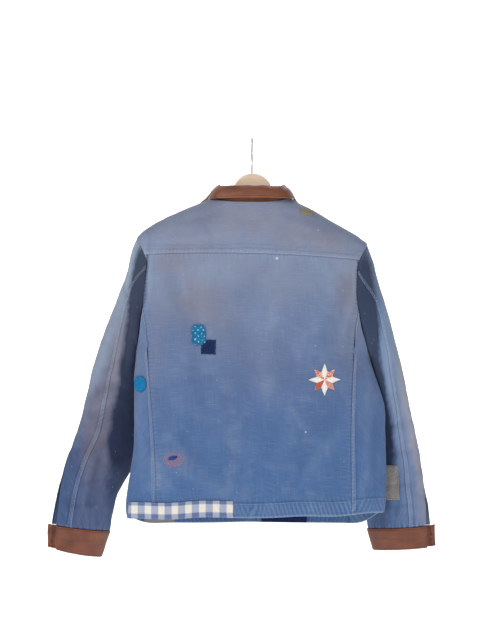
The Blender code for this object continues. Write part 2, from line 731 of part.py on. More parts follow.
# ---- hanger ----
def hanger_outline():
    """Board outline: half-round head, arms along the shoulder lines, under side."""
    top = []
    for i in range(13):
        a = math.pi * i / 12
        top.append((0.0010 + 0.040 * math.cos(a), -0.1100 + 0.0400 * math.sin(a)))
    left = [(-0.048, -0.1240), (-0.075, -0.1300), (-0.101, -0.1400), (-0.133, -0.1530), (-0.161, -0.1650), (-0.187, -0.1770), (-0.203, -0.1890)]
    left_low = [(-0.207, -0.1990), (-0.198, -0.2080), (-0.165, -0.1960), (-0.120, -0.1800), (-0.070, -0.1660)]
    low = [(0.0, -0.1580)]
    right_low = [(0.068, -0.1680), (0.115, -0.1840), (0.160, -0.2020), (0.192, -0.2150)]
    right = [(0.203, -0.2060), (0.198, -0.1960), (0.181, -0.1880), (0.159, -0.1760), (0.139, -0.1650), (0.119, -0.1550), (0.093, -0.1420), (0.070, -0.1310), (0.048, -0.1240)]
    return top + left + left_low + low + right_low + right


curve = bpy.data.curves.new("hanger_outline", "CURVE")
curve.dimensions = "2D"
curve.fill_mode = "BOTH"
curve.extrude = BOARD / 2
sp = curve.splines.new("POLY")
pts = hanger_outline()
sp.points.add(len(pts) - 1)
for p, (x, z) in zip(sp.points, pts):
    p.co = (x, z, 0, 1)
sp.use_cyclic_u = True
flat = bpy.data.objects.new("hanger_flat", curve)
flat.rotation_euler = (math.pi / 2, 0, 0)
home.objects.link(flat)
bpy.context.view_layer.update()
mesh = bpy.data.meshes.new_from_object(flat.evaluated_get(bpy.context.evaluated_depsgraph_get()))
board = bpy.data.objects.new("hanger_board", mesh)
board.matrix_world = flat.matrix_world.copy()
home.objects.link(board)
bpy.data.objects.remove(flat, do_unlink=True)
bm = bmesh.new()
bm.from_mesh(mesh)
bmesh.ops.remove_doubles(bm, verts=bm.verts, dist=0.00005)
bmesh.ops.recalc_face_normals(bm, faces=bm.faces)
bm.to_mesh(mesh)
bm.free()
mesh.materials.clear()
mesh.materials.append(WOOD)
b = board.modifiers.new("edge", "BEVEL")
b.width = 0.0030
b.segments = 3
b.limit_method = "ANGLE"
b.angle_limit = math.radians(50)

# hook: bent wire in the YZ plane, its inner top at the origin
hook = bpy.data.curves.new("hanger_hook", "CURVE")
hook.dimensions = "3D"
hook.bevel_depth = WIRE
hook.bevel_resolution = 3
hook.use_fill_caps = True
R = 0.017
path = [(0, 0, -0.0696), (0, 0, -0.056), (0, 0, -0.047), (0, 0.003, -0.0405)]
for i in range(15):
    a = math.radians(-70 + 262 * i / 14)
    path.append((0, R * math.cos(a), -R + WIRE + (R) * math.sin(a)))
sp = hook.splines.new("POLY")
sp.points.add(len(path) - 1)
for p, q in zip(sp.points, path):
    p.co = (*q, 1)
ob = bpy.data.objects.new("hanger_hook", hook)
home.objects.link(ob)
hook.materials.append(STEEL)
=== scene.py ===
"""Looks of the patched work jacket on its wooden hanger: cloth shells with folds, seams, stitches, patches, leather and wood."""
import math
import random
import bpy
import bmesh
import numpy as np
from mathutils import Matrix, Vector


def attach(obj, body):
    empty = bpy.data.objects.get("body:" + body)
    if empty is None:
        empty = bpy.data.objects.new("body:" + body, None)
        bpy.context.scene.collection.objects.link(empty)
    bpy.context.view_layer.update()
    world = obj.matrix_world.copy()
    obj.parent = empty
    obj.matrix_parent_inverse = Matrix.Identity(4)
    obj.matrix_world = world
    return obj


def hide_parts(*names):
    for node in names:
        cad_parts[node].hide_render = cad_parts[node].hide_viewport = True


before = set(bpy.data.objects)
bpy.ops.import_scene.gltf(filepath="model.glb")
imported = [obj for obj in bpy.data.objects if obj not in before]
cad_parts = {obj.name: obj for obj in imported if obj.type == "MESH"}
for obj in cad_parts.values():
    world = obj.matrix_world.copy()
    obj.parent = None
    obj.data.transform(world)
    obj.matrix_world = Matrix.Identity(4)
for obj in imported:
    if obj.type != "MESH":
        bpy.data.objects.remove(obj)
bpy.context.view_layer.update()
random.seed(7)
WALL = 0.0016
LEATHER = 0.0018

# ---------------------------------------------------------------- the garment's surfaces, as in the part
RING_N = 2.5           # roundness of a body ring
BACK_HEM = -0.7580
FRONT_HEM = -0.7750
HOLE_T = 0.62          # half angle of the armholes
HOLE = {-1: (-0.309, 0.106), 1: (-0.322, 0.109)}   # armhole middle height, half height

# half widths of the body at chosen heights, left and right of the middle
LEFT = [(-0.80, .246), (-0.763, .248), (-0.727, .2515), (-0.700, .2485), (-0.655, .2405), (-0.62, .2362), (-0.545, .2345),
        (-0.473, .2350), (-0.44, .2295), (-0.415, .2268), (-0.401, .2335), (-0.384, .2410), (-0.362, .2489), (-0.336, .2517),
        (-0.309, .2520), (-0.282, .2470), (-0.255, .2360), (-0.234, .2290), (-0.218, .2290), (-0.203, .2290), (-0.191, .2225),
        (-0.179, .2070), (-0.167, .1870), (-0.155, .1610), (-0.143, .1330), (-0.130, .1010), (-0.118, .0780), (-0.105, .0620)]
RIGHT = [(-0.80, .255), (-0.759, .2595), (-0.737, .2640), (-0.711, .2668), (-0.671, .2674), (-0.599, .2656), (-0.537, .2638),
         (-0.489, .2510), (-0.455, .2385), (-0.431, .2305), (-0.416, .2350), (-0.399, .2400), (-0.3765, .2439), (-0.350, .2460),
         (-0.322, .2453), (-0.294, .2413), (-0.268, .2360), (-0.245, .2300), (-0.228, .2300), (-0.213, .2290), (-0.203, .2190),
         (-0.191, .2030), (-0.179, .1810), (-0.167, .1590), (-0.155, .1390), (-0.143, .1190), (-0.131, .0930), (-0.118, .0740), (-0.105, .0600)]
BACK_D = [(-0.80, .054), (-0.70, .057), (-0.50, .060), (-0.32, .060), (-0.23, .058), (-0.16, .056), (-0.127, .054), (-0.105, .050)]
FRONT_D = [(-0.80, .056), (-0.60, .060), (-0.32, .064), (-0.20, .063), (-0.127, .058), (-0.105, .052)]


def smooth(x):
    x = min(1.0, max(0.0, x))
    return x * x * (3 - 2 * x)


def table(rows, z):
    """Smooth value through a table of (height, value) rows."""
    if z <= rows[0][0]:
        return rows[0][1]
    if z >= rows[-1][0]:
        return rows[-1][1]
    i = 0
    while rows[i + 1][0] < z:
        i += 1
    (x0, y0), (x1, y1) = rows[i], rows[i + 1]
    m = (y1 - y0) / (x1 - x0)
    ma = m if i == 0 else (y1 - rows[i - 1][1]) / (x1 - rows[i - 1][0])
    mb = m if i + 2 >= len(rows) else (rows[i + 2][1] - y0) / (rows[i + 2][0] - x0)
    h = x1 - x0
    t = (z - x0) / h
    return (y0 * (1 + 2 * t) * (1 - t) ** 2 + ma * h * t * (1 - t) ** 2
            + y1 * t * t * (3 - 2 * t) - mb * h * t * t * (1 - t))


def body(t, z):
    """A point of the body's wall: t is 0 at the right side, pi/2 mid back, pi left, 3pi/2 mid front."""
    c, s = math.cos(t), math.sin(t)
    a = table(RIGHT if c > 0 else LEFT, z)
    b = table(BACK_D if s > 0 else FRONT_D, z)
    x = a * math.copysign(abs(c) ** (2 / RING_N), c)
    y = -b * math.copysign(abs(s) ** (2 / RING_N), s)
    if z < -0.25:                       # long soft folds that hang from the shoulders
        f = smooth((-0.25 - z) / 0.2)
        k = abs(s) ** 1.2
        y += k * f * (0.0035 * math.sin(3.1 * x / 0.11 + 0.8) + 0.0020 * math.sin(x / 0.031 + z * 5))
    return Vector((x, y, z))


def angle_at(x, z, front=False):
    """The ring angle where the body's wall passes x."""
    a = table(RIGHT if x > 0 else LEFT, z)
    c = math.copysign(min(1.0, abs(x) / a) ** (RING_N / 2), x)
    t = math.acos(c)
    return 2 * math.pi - t if front else t


def hole(side, q):
    """Armhole edge as (t, z). q is 0 at the shoulder, 90 degrees on the back, 180 under the arm, -90 on the front."""
    zc, h = HOLE[side]
    tau = HOLE_T * math.sin(math.radians(q))
    t = math.pi - tau if side < 0 else tau
    return (t, zc + h * math.cos(math.radians(q)))


def mixed(a, b, f):
    return tuple(a[i] + (b[i] - a[i]) * f for i in range(len(a)))


def back_hem(x):
    return BACK_HEM + 0.0016 * math.cos(x / 0.07) - 0.0015 * math.cos(x / 0.023) + 0.008 * smooth((x - 0.0) / 0.24) - 0.004 * smooth((-x - 0.1) / 0.14) + 0.005


def hem_z(t):
    """Height of the hem all round: the front hangs lower than the back."""
    s = math.sin(t)
    x = 0.25 * math.cos(t)
    k = smooth((s + 0.67) / 0.55)
    return FRONT_HEM * (1 - k) + back_hem(x) * k


SEAM_TOP_B = {-1: 105.0, 1: 100.0}    # armhole angle where the side-back seam starts
SEAM_TOP_F = {-1: -105.0, 1: -105.0}
SEAM_X_B = {-1: [(-0.80, -.190), (-0.72, -.1905), (-0.64, -.192), (-0.50, -.2020), (-0.40, -.2085), (-0.33, -.2140)],
            1: [(-0.80, .196), (-0.70, .196), (-0.56, .1955), (-0.46, .2000), (-0.38, .2040), (-0.33, .2065)]}
SEAM_X_F = {-1: [(-0.80, -.185), (-0.55, -.188), (-0.33, -.2160)], 1: [(-0.80, .195), (-0.55, .196), (-0.33, .2120)]}
YOKE_CORNER = 45.0


def back_seam(side, v):
    """Side-back seam from the armhole (v 0) to the hem (v 1), as (t, z)."""
    t0, z0 = hole(side, SEAM_TOP_B[side])
    z1 = hem_z(angle_at(table(SEAM_X_B[side], -0.76), -0.76))
    z = z0 + (z1 - z0) * v
    t = angle_at(table(SEAM_X_B[side], z), z)
    k = smooth(v / 0.12)
    return (t0 * (1 - k) + t * k, z)


def front_seam(side, v):
    t0, z0 = hole(side, SEAM_TOP_F[side])
    if side > 0:
        t0 += 2 * math.pi
    z = z0 + (FRONT_HEM - z0) * v
    t = angle_at(table(SEAM_X_F[side], z), z, True)
    k = smooth(v / 0.12)
    return (t0 * (1 - k) + t * k, z)


def yoke_seam(u):
    """Back yoke seam from left (u 0) to right (u 1), as (t, z)."""
    (t0, z0), (t1, z1) = hole(-1, YOKE_CORNER), hole(1, YOKE_CORNER)
    x = -0.21 + 0.425 * u
    z = z0 + (z1 - z0) * u + 0.0075 * max(0.0, math.sin(math.pi * u)) ** 0.7
    x0, x1 = body(t0, z0).x, body(t1, z1).x
    t = angle_at(x0 + (x1 - x0) * u, z)
    if u < 1e-6:
        t = t0
    if u > 1 - 1e-6:
        t = t1
    return (t, z)


NECK_T = 1.0   # front corner of the yoke at the neck, ring angle in front of the side


def neck(t):
    """Neckline height round the neck: lowest in front, a little dip mid back."""
    s = math.sin(t)
    if s >= 0:
        return -0.114 - 0.0165 * s ** 1.3
    return -0.114 - 0.070 * (-s) ** 1.7


FRONT_MID = {-1: 3 * math.pi / 2 + 0.10, 1: 3 * math.pi / 2 + 0.02}   # centre-front edges (left laps over right)


def coons(top, bottom, left, right, nu, nv):
    """Grid of (t, z) filled from four edge functions that meet at the corners."""
    T, B = [top(i / nu) for i in range(nu + 1)], [bottom(i / nu) for i in range(nu + 1)]
    L, R = [left(j / nv) for j in range(nv + 1)], [right(j / nv) for j in range(nv + 1)]
    rows = []
    for j in range(nv + 1):
        v, row = j / nv, []
        for i in range(nu + 1):
            u = i / nu
            row.append(tuple((1 - v) * T[i][k] + v * B[i][k] + (1 - u) * L[j][k] + u * R[j][k]
                             - (1 - u) * (1 - v) * T[0][k] - u * (1 - v) * T[nu][k]
                             - (1 - u) * v * B[0][k] - u * v * B[nu][k] for k in (0, 1)))
        rows.append(row)
    return rows


def on_body(rows):
    return [[body(t, z) for t, z in row] for row in rows]


def yoke_bottom(u):
    a = 6 / 30
    if u < a:
        return hole(-1, -YOKE_CORNER + 2 * YOKE_CORNER * u / a)
    if u > 1 - a:
        return hole(1, YOKE_CORNER - 2 * YOKE_CORNER * (u - 1 + a) / a)
    return yoke_seam((u - a) / (1 - 2 * a))


def yoke_top(u):
    t = math.pi + NECK_T - (math.pi + 2 * NECK_T) * u
    return (t, neck(t))


def line(a, b):
    return lambda v: mixed(a, b, v)


def front_yoke(side, v):
    """Front yoke seam from the neck (v 0) to the armhole (v 1)."""
    t = math.pi + NECK_T if side < 0 else -NECK_T
    return mixed((t, neck(t)), hole(side, -YOKE_CORNER), v)


def back_side(side):
    def f(v):
        a = 4 / 16
        if v < a:
            return hole(side, YOKE_CORNER + (SEAM_TOP_B[side] - YOKE_CORNER) * v / a)
        return back_seam(side, (v - a) / (1 - a))
    return f


def hem_edge(a, b):
    def f(u):
        t = a[0] + (b[0] - a[0]) * u
        return (t, hem_z(t))
    return f


def side_top(side):
    def f(u):
        lo, hi = SEAM_TOP_B[side], 360 + SEAM_TOP_F[side]
        t, z = hole(side, lo + (hi - lo) * u)
        return (t, z)
    return f


def side_rows(side, nu=8, nv=12):
    def fix(tz):
        return (tz[0] - 2 * math.pi if side > 0 and tz[0] > math.pi else tz[0], tz[1])
    left, right = (lambda v: fix(back_seam(side, v))), (lambda v: fix(front_seam(side, v)))
    return coons(side_top(side), hem_edge(left(1), right(1)), left, right, nu, nv)


def front_rows(side, nu=10, nv=16):
    turn = 2 * math.pi if side > 0 else 0.0
    a = 6 / 10
    corner = (math.pi + NECK_T if side < 0 else 2 * math.pi - NECK_T, neck(math.pi + NECK_T))
    mid = FRONT_MID[side]

    def top(u):
        if u < a:
            q = front_yoke(side, 1 - u / a)
            return (q[0] + turn, q[1])
        t = corner[0] + (mid - corner[0]) * (u - a) / (1 - a)
        return (t, neck(t))

    def outer(v):
        b = 4 / 16
        if v < b:
            q = hole(side, -YOKE_CORNER + (SEAM_TOP_F[side] + YOKE_CORNER) * v / b)
            return (q[0] + turn, q[1])
        return front_seam(side, (v - b) / (1 - b))

    def inner(v):
        z0 = neck(mid)
        return (mid, z0 + (FRONT_HEM - z0) * v)

    return coons(top, lambda u: mixed(outer(1), inner(1), u), outer, inner, nu, nv)


def lapped(rows, side):
    """The left front laps 4 mm in front of the right one near the middle."""
    out = []
    for row in rows:
        r = []
        for t, z in row:
            p = body(t, z)
            k = smooth((p.x + 0.055) / 0.03) if side < 0 else 0.0
            p.y += 0.0042 * k
            r.append(p)
        out.append(r)
    return out


# ---- sleeves: stations of (outer x, z), (inner x, z), outer y, inner y, half depth ----
ARM = {
    -1: [((-.226, -.203), (-.226, -.415), .000, .000, .036), ((-.240, -.232), (-.2300, -.424), .002, .010, .046),
         ((-.249, -.265), (-.2310, -.436), .004, .022, .050), ((-.262, -.300), (-.2300, -.455), .006, .036, .050),
         ((-.279, -.346), (-.2290, -.480), .010, .050, .047), ((-.296, -.392), (-.2270, -.515), .016, .060, .042),
         ((-.314, -.444), (-.2240, -.556), .022, .068, .036), ((-.328, -.496), (-.2190, -.602), .028, .074, .031),
         ((-.347, -.572), (-.2210, -.632), .034, .078, .028), ((-.362, -.612), (-.2405, -.657), .038, .080, .026),
         ((-.373, -.642), (-.2600, -.692), .041, .080, .025), ((-.3865, -.695), (-.2760, -.722), .045, .079, .024),
         ((-.393, -.735), (-.2840, -.752), .047, .078, .023), ((-.3980, -.7790), (-.2914, -.7930), .050, .077, .022)],
    1: [((.2275, -.213), (.230, -.431), .000, .000, .036), ((.2420, -.252), (.2345, -.440), .002, .010, .046),
        ((.2520, -.285), (.2380, -.452), .004, .022, .050), ((.2640, -.325), (.2415, -.470), .006, .036, .050),
        ((.2800, -.378), (.2450, -.500), .010, .050, .047), ((.2930, -.430), (.2480, -.540), .016, .060, .042),
        ((.3045, -.478), (.2500, -.580), .022, .066, .036), ((.3140, -.526), (.2500, -.625), .026, .070, .031),
        ((.3280, -.588), (.2450, -.665), .030, .074, .028), ((.3400, -.640), (.2400, -.700), .034, .076, .026),
        ((.3460, -.690), (.2360, -.728), .037, .077, .025), ((.3515, -.725), (.2345, -.748), .039, .077, .024),
        ((.3530, -.752), (.2360, -.765), .041, .077, .023), ((.3540, -.7790), (.2386, -.7880), .043, .077, .022)],
}


def station(side, s):
    """Smooth ring of the sleeve at s (0 armhole, 1 cuff seam)."""
    st = [(*a, *b, c, d, e) for a, b, c, d, e in ARM[side]]
    n = len(st) - 1
    f = min(max(s, 0), 1) * n
    i = min(int(f), n - 1)
    f -= i
    p0, p1, p2, p3 = st[max(i - 1, 0)], st[i], st[i + 1], st[min(i + 2, n)]
    return [0.5 * (2 * b + (c - a) * f + (2 * a - 5 * b + 4 * c - d) * f * f + (3 * b - a - 3 * c + d) * f ** 3)
            for a, b, c, d in zip(p0, p1, p2, p3)]


def clear_of_body(p, s, margin=0.0030):
    """Moves a sleeve point out of the body's wall."""
    k = smooth(s / 0.04) * max(smooth((-0.31 - p.z) / 0.05), smooth((s - 0.15) / 0.05))
    if k <= 0:
        return p
    z = max(min(p.z, -0.12), -0.79)
    a = table(RIGHT if p.x > 0 else LEFT, z) + margin
    b = (table(BACK_D, z) if p.y < 0 else table(FRONT_D, z)) + margin + 0.002
    f = (abs(p.x) / a) ** RING_N + (abs(p.y) / b) ** RING_N
    if f < 1:
        e = f ** (-1 / RING_N)
        p = p.lerp(Vector((p.x * e, p.y * e, p.z)), k)
    return p


def sleeve(side, s, q):
    """A point of the sleeve's wall; q in degrees, 0 outer, 90 back, 180 inner, 270 front."""
    def ring(s):
        ox, oz, ix, iz, oy, iy, b = station(side, s)
        c = Vector(((ox + ix) / 2, (oy + iy) / 2, (oz + iz) / 2))
        e1 = Vector((ox, oy, oz)) - c
        cs, sn = math.cos(math.radians(q)), math.sin(math.radians(q))
        e2 = Vector((0, 1, 0)) - e1 * (e1.y / e1.length_squared)
        return c + e1 * cs - e2.normalized() * (b * sn), e1
    p, e1 = ring(s)
    k = 1 - smooth(s / 0.16)
    if k > 0:
        d = body(*hole(side, q if q <= 180 else q - 360)) - ring(0)[0]
        p = p + d * k
    p.x += side * 0.0034 * max(0.0, -math.cos(math.radians(q))) ** 0.5 * (1 - smooth(s / 0.3))
    return clear_of_body(p, s)


SLIT_TOP = 0.75
BACK_Q, FRONT_Q = 62.0, 282.0


def sleeve_rows(side, q0, q1, nq, ns, s0=0.0, s1=1.0):
    return [[sleeve(side, s0 + (s1 - s0) * j / ns, q0 + (q1 - q0) * i / nq) for i in range(nq + 1)] for j in range(ns + 1)]


def slit_open(side, p, s, q):
    """Spreads the front edge of the cuff slit outwards."""
    k = smooth((s - SLIT_TOP) / (1 - SLIT_TOP))
    w = smooth((q - 318) / 42)
    p = p.copy()
    p.x += side * 0.008 * k * w
    p.y += 0.010 * k * w
    return p


def upper_rows(side):
    """Upper sleeve: from the front seam over the outer edge to the back seam; the slit's two edges share a column above its top."""
    qs = [FRONT_Q - 360, -60, -42, -24, -8, 6, 20, 34, 48, BACK_Q]
    out = []
    ns = 16
    for j in range(ns + 1):
        s = j / ns
        row = []
        for q in qs:
            k = smooth((s - SLIT_TOP) / 0.2)
            qq = q
            if q == -8:
                qq = 3 - 3 * k
            elif q == 6:
                qq = 3.6 + 6.4 * k
            p = sleeve(side, s, qq % 360)
            if q <= -8:
                p = slit_open(side, p, s, (q % 360) if q != -8 else 360)
            row.append(p)
        out.append(row)
    return out


CUFF = {-1: dict(drop=Vector((-0.002, 0.003, -0.0475)), top=0.0012), 1: dict(drop=Vector((0.0035, 0.003, -0.0440)), top=0.0012)}


def cuff(side, v, q):
    """Leather cuff: q from 10 (back end) round to 360, then on past the slit as a flat end."""
    over = max(0.0, q - 352)
    p = slit_open(side, sleeve(side, 1.0, min(q, 352)), 1.0, min(q, 352))
    c = slit_open(side, sleeve(side, 1.0, 180), 1.0, 180).lerp(sleeve(side, 1.0, 0), 0.5)
    p = c + (p - c) * (1.035 - 0.02 * v)
    p = p + CUFF[side]["drop"] * v
    inner = smooth((1 - math.cos(math.radians(q))) / 2)
    p.x += side * (0.0150 if side < 0 else 0.0080) * inner * v
    p.z -= CUFF[side]["top"]
    if side < 0:
        p.z -= 0.006 * math.sin(math.pi * min(q, 360) / 360) * v
    if over:
        p += Vector((side * 0.0016, 0.0009, 0.0003)) * over
    return p


COLLAR_END = 1.42   # how far past the side the collar runs to the front


def collar_angle(u):
    return math.pi + COLLAR_END - (math.pi + 2 * COLLAR_END) * u


def stand_point(t, v):
    """Collar stand: v 0 at the neckline, 1 at the fold."""
    z0 = neck(t)
    p = body(t, z0)
    s = max(0.0, -math.sin(t))
    rise = 0.0205 + 0.0165 * max(0.0, math.sin(t)) ** 1.5 - 0.004 * s
    flat = Vector((p.x, p.y, 0))
    p = p - flat.normalized() * (0.0024 + 0.0024 * min(1.0, 3 * s))
    q = Vector((p.x * (1 - 0.15 * v), p.y * (1 - 0.06 * v), z0 + 0.0030 - 0.0065 * max(0.0, math.sin(t)) ** 0.5 + (rise - 0.003) * v))
    if s > 0:
        q.y -= 0.008 * s * v
    return q


def fall_point(t, v):
    """Collar fall: v 0 at the fold, 1 at its outer edge."""
    p = stand_point(t, 1.0)
    s = math.sin(t)
    f = max(0.0, -s)
    out = Vector((math.cos(t), -math.sin(t) * 0.9, 0)).normalized()
    drop = 0.0215 + 0.0045 * max(0.0, s) + 0.0050 * abs(math.cos(t)) ** 2 + 0.016 * f
    reach = 0.0130 + 0.0100 * abs(math.cos(t)) ** 2 + 0.010 * f
    bulge = math.sin(math.pi * v) * 0.0035
    p = p + out * (0.0038 + 0.0034 * min(1.0, 3 * f) + reach * v + bulge) + Vector((0, 0, 0.0012 + 0.0018 * v - drop * v ** 1.25))
    z = min(p.z, -0.107)
    a = table(RIGHT if p.x > 0 else LEFT, z) + 0.0065
    b = table(FRONT_D, z) + 0.0045
    k = (abs(p.x) / a) ** RING_N + (abs(p.y) / b) ** RING_N
    if f > 0 and k < 1:
        e = k ** (-1 / RING_N)
        p = p.lerp(Vector((p.x * e, p.y * e, p.z)), smooth(f / 0.1) * smooth(v / 0.3))
    return p


def normal_at(f, a, b, da, db):
    n = (f(a + da, b) - f(a - da, b)).cross(f(a, b + db) - f(a, b - db))
    return n.normalized()


def body_out(x, z, lift, front=False):
    t = angle_at(x, z, front)
    n = normal_at(body, t, z, 0.01, 0.004)
    p = body(t, z)
    if n.dot(Vector((p.x * 0.2, p.y, 0))) < 0:
        n = -n
    return p + n * lift


def quad(cx, cz, w, h, turn=0.0, chamfer=0.0, n=4):
    """Points round a rectangle, anticlockwise."""
    c, s = math.cos(math.radians(turn)), math.sin(math.radians(turn))
    k = chamfer
    raw = []
    for sx, sz in ((1, 1), (-1, 1), (-1, -1), (1, -1)):
        raw += [(sx * (w / 2 - (k if sx * sz < 0 else 0)), sz * (h / 2 - (0 if sx * sz < 0 else k))),
                (sx * (w / 2 - (0 if sx * sz < 0 else k)), sz * (h / 2 - (k if sx * sz < 0 else 0)))] if k else [(sx * w / 2, sz * h / 2)]
    if not k:
        fine = []
        for a, b in zip(raw, raw[1:] + raw[:1]):
            fine += [mixed(a, b, i / n) for i in range(n)]
        raw = fine
    return [(cx + x * c - z * s, cz + x * s + z * c) for x, z in raw]


def sleeve_at(side, q, z):
    """How far along the sleeve its line at q reaches the height z."""
    a, b = 0.3, 1.0
    for _ in range(24):
        m = (a + b) / 2
        if sleeve(side, m, q).z > z:
            a = m
        else:
            b = m
    return (a + b) / 2


def sleeve_out(side, s, q, lift):
    d = lambda a, b: sleeve(side, a, b)
    n = normal_at(d, s, q, 0.01, 4.0)
    p = sleeve(side, s, q)
    c = (sleeve(side, s, 0) + sleeve(side, s, 180)) / 2
    if n.dot(p - c) < 0:
        n = -n
    return p + n * lift



# ---------------------------------------------------------------- folds and relief
def waves(x, seed, scale):
    """Smooth, repeatable wander in -1..1 of an array."""
    r = np.random.RandomState(seed)
    out = np.zeros_like(x)
    for k in range(5):
        out = out + np.sin(x / scale * (0.7 + 0.55 * k) * r.uniform(0.85, 1.15) + r.uniform(0, 6.28)) / (1 + 0.5 * k)
    return out / 2.6


def bump2(P, seed, sx, sz):
    """Smooth two-way wander over the photo's plane."""
    r = np.random.RandomState(seed)
    out = np.zeros(P.shape[:-1])
    for k in range(7):
        a = r.uniform(0, 6.28)
        out += np.sin((P[..., 0] / sx * math.cos(a) + P[..., 2] / sz * math.sin(a)) * r.uniform(0.7, 1.8) * 6.28 + r.uniform(0, 6.28))
    return out / 4


def crease(P, x0, z0, x1, z1, width, height, bend=0.0):
    """Soft ridge (height > 0) or trough along a line in the photo's plane, fading at both ends."""
    dx, dz = x1 - x0, z1 - z0
    L = math.hypot(dx, dz)
    u = ((P[..., 0] - x0) * dx + (P[..., 2] - z0) * dz) / (L * L)
    v = ((P[..., 0] - x0) * -dz + (P[..., 2] - z0) * dx) / L
    v = v + bend * np.sin(np.clip(u, 0, 1) * math.pi)
    ends = np.clip(u / 0.25, 0, 1) * np.clip((1 - u) / 0.25, 0, 1)
    ends = ends * ends * (3 - 2 * ends)
    return height * ends * np.exp(-(v / width) ** 2)


# back of the body: (x0, z0, x1, z1, width, height, bend)
BACK_FOLDS = [
    (-0.2020, -0.190, -0.2105, -0.330, 0.0028, -0.0030, 0.0020), (-0.2080, -0.190, -0.2140, -0.330, 0.0040, 0.0020, 0.0020),
    (-0.1960, -0.232, -0.2040, -0.345, 0.0050, 0.0016, 0.0),
    (-0.175, -0.240, -0.095, -0.430, 0.016, -0.0026, 0.006), (-0.145, -0.235, -0.120, -0.330, 0.009, 0.0014, 0.0),
    (-0.118, -0.265, -0.104, -0.540, 0.014, -0.0020, 0.004), (0.190, -0.262, 0.130, -0.430, 0.018, -0.0026, -0.005),
    (0.203, -0.300, 0.176, -0.400, 0.008, 0.0020, 0.0), (0.150, -0.245, 0.160, -0.330, 0.010, 0.0012, 0.0),
    (0.215, -0.480, 0.080, -0.640, 0.020, -0.0024, 0.010), (0.190, -0.560, 0.090, -0.690, 0.014, 0.0018, 0.004),
    (-0.200, -0.520, -0.090, -0.660, 0.018, -0.0022, -0.006), (-0.160, -0.640, -0.040, -0.715, 0.014, 0.0016, 0.0),
    (0.020, -0.300, 0.040, -0.560, 0.022, 0.0016, 0.006), (-0.040, -0.420, -0.020, -0.700, 0.020, -0.0018, 0.004),
    (0.120, -0.600, 0.060, -0.735, 0.010, -0.0014, 0.0), (0.235, -0.430, 0.225, -0.700, 0.009, 0.0022, 0.003),
    (0.250, -0.520, 0.245, -0.730, 0.007, -0.0024, 0.002), (-0.222, -0.420, -0.215, -0.700, 0.008, 0.0020, 0.002),
    (0.060, -0.500, 0.150, -0.520, 0.008, 0.0010, 0.003), (-0.060, -0.545, 0.030, -0.560, 0.009, -0.0010, 0.003),
    (-0.150, -0.480, -0.060, -0.470, 0.008, -0.0009, 0.003), (0.000, -0.640, 0.110, -0.655, 0.008, 0.0010, 0.003),
    (-0.165, -0.170, -0.060, -0.150, 0.010, -0.0016, 0.004), (-0.190, -0.205, -0.040, -0.190, 0.010, 0.0013, 0.003),
    (0.170, -0.190, 0.050, -0.150, 0.010, -0.0016, 0.004), (0.195, -0.222, 0.060, -0.200, 0.009, 0.0012, 0.003),
    (-0.030, -0.150, 0.030, -0.152, 0.012, 0.0012, 0.0),
]
FRONT_FOLDS = [
    (-0.190, -0.230, -0.060, -0.330, 0.016, -0.0026, 0.004), (0.190, -0.240, 0.070, -0.340, 0.016, -0.0026, -0.004),
    (-0.150, -0.300, -0.110, -0.560, 0.016, 0.0022, 0.004), (0.140, -0.330, 0.120, -0.600, 0.016, 0.0022, 0.004),
    (-0.200, -0.520, -0.080, -0.660, 0.018, -0.0024, 0.0), (0.210, -0.500, 0.090, -0.640, 0.018, -0.0024, 0.0),
    (-0.070, -0.400, -0.060, -0.740, 0.012, 0.0018, 0.002), (0.070, -0.420, 0.060, -0.740, 0.012, -0.0018, 0.002),
    (0.000, -0.280, -0.050, -0.330, 0.007, -0.0014, 0.0), (0.000, -0.400, -0.060, -0.440, 0.007, -0.0014, 0.0),
    (0.000, -0.520, 0.050, -0.560, 0.007, -0.0014, 0.0),
]


def cloth(P, N):
    """Height of the body's folds at points P with normals N."""
    h = np.zeros(P.shape[:-1])
    back = np.clip(-N[..., 1] * 1.6 + 0.1, 0, 1)
    front = np.clip(N[..., 1] * 1.6, 0, 1)
    for f in BACK_FOLDS:
        h += back * crease(P, *f)
    for f in FRONT_FOLDS:
        h += front * crease(P, *f)
    h += 0.00055 * bump2(P, 11, 0.085, 0.12) + 0.00030 * bump2(P, 12, 0.030, 0.045)
    return h


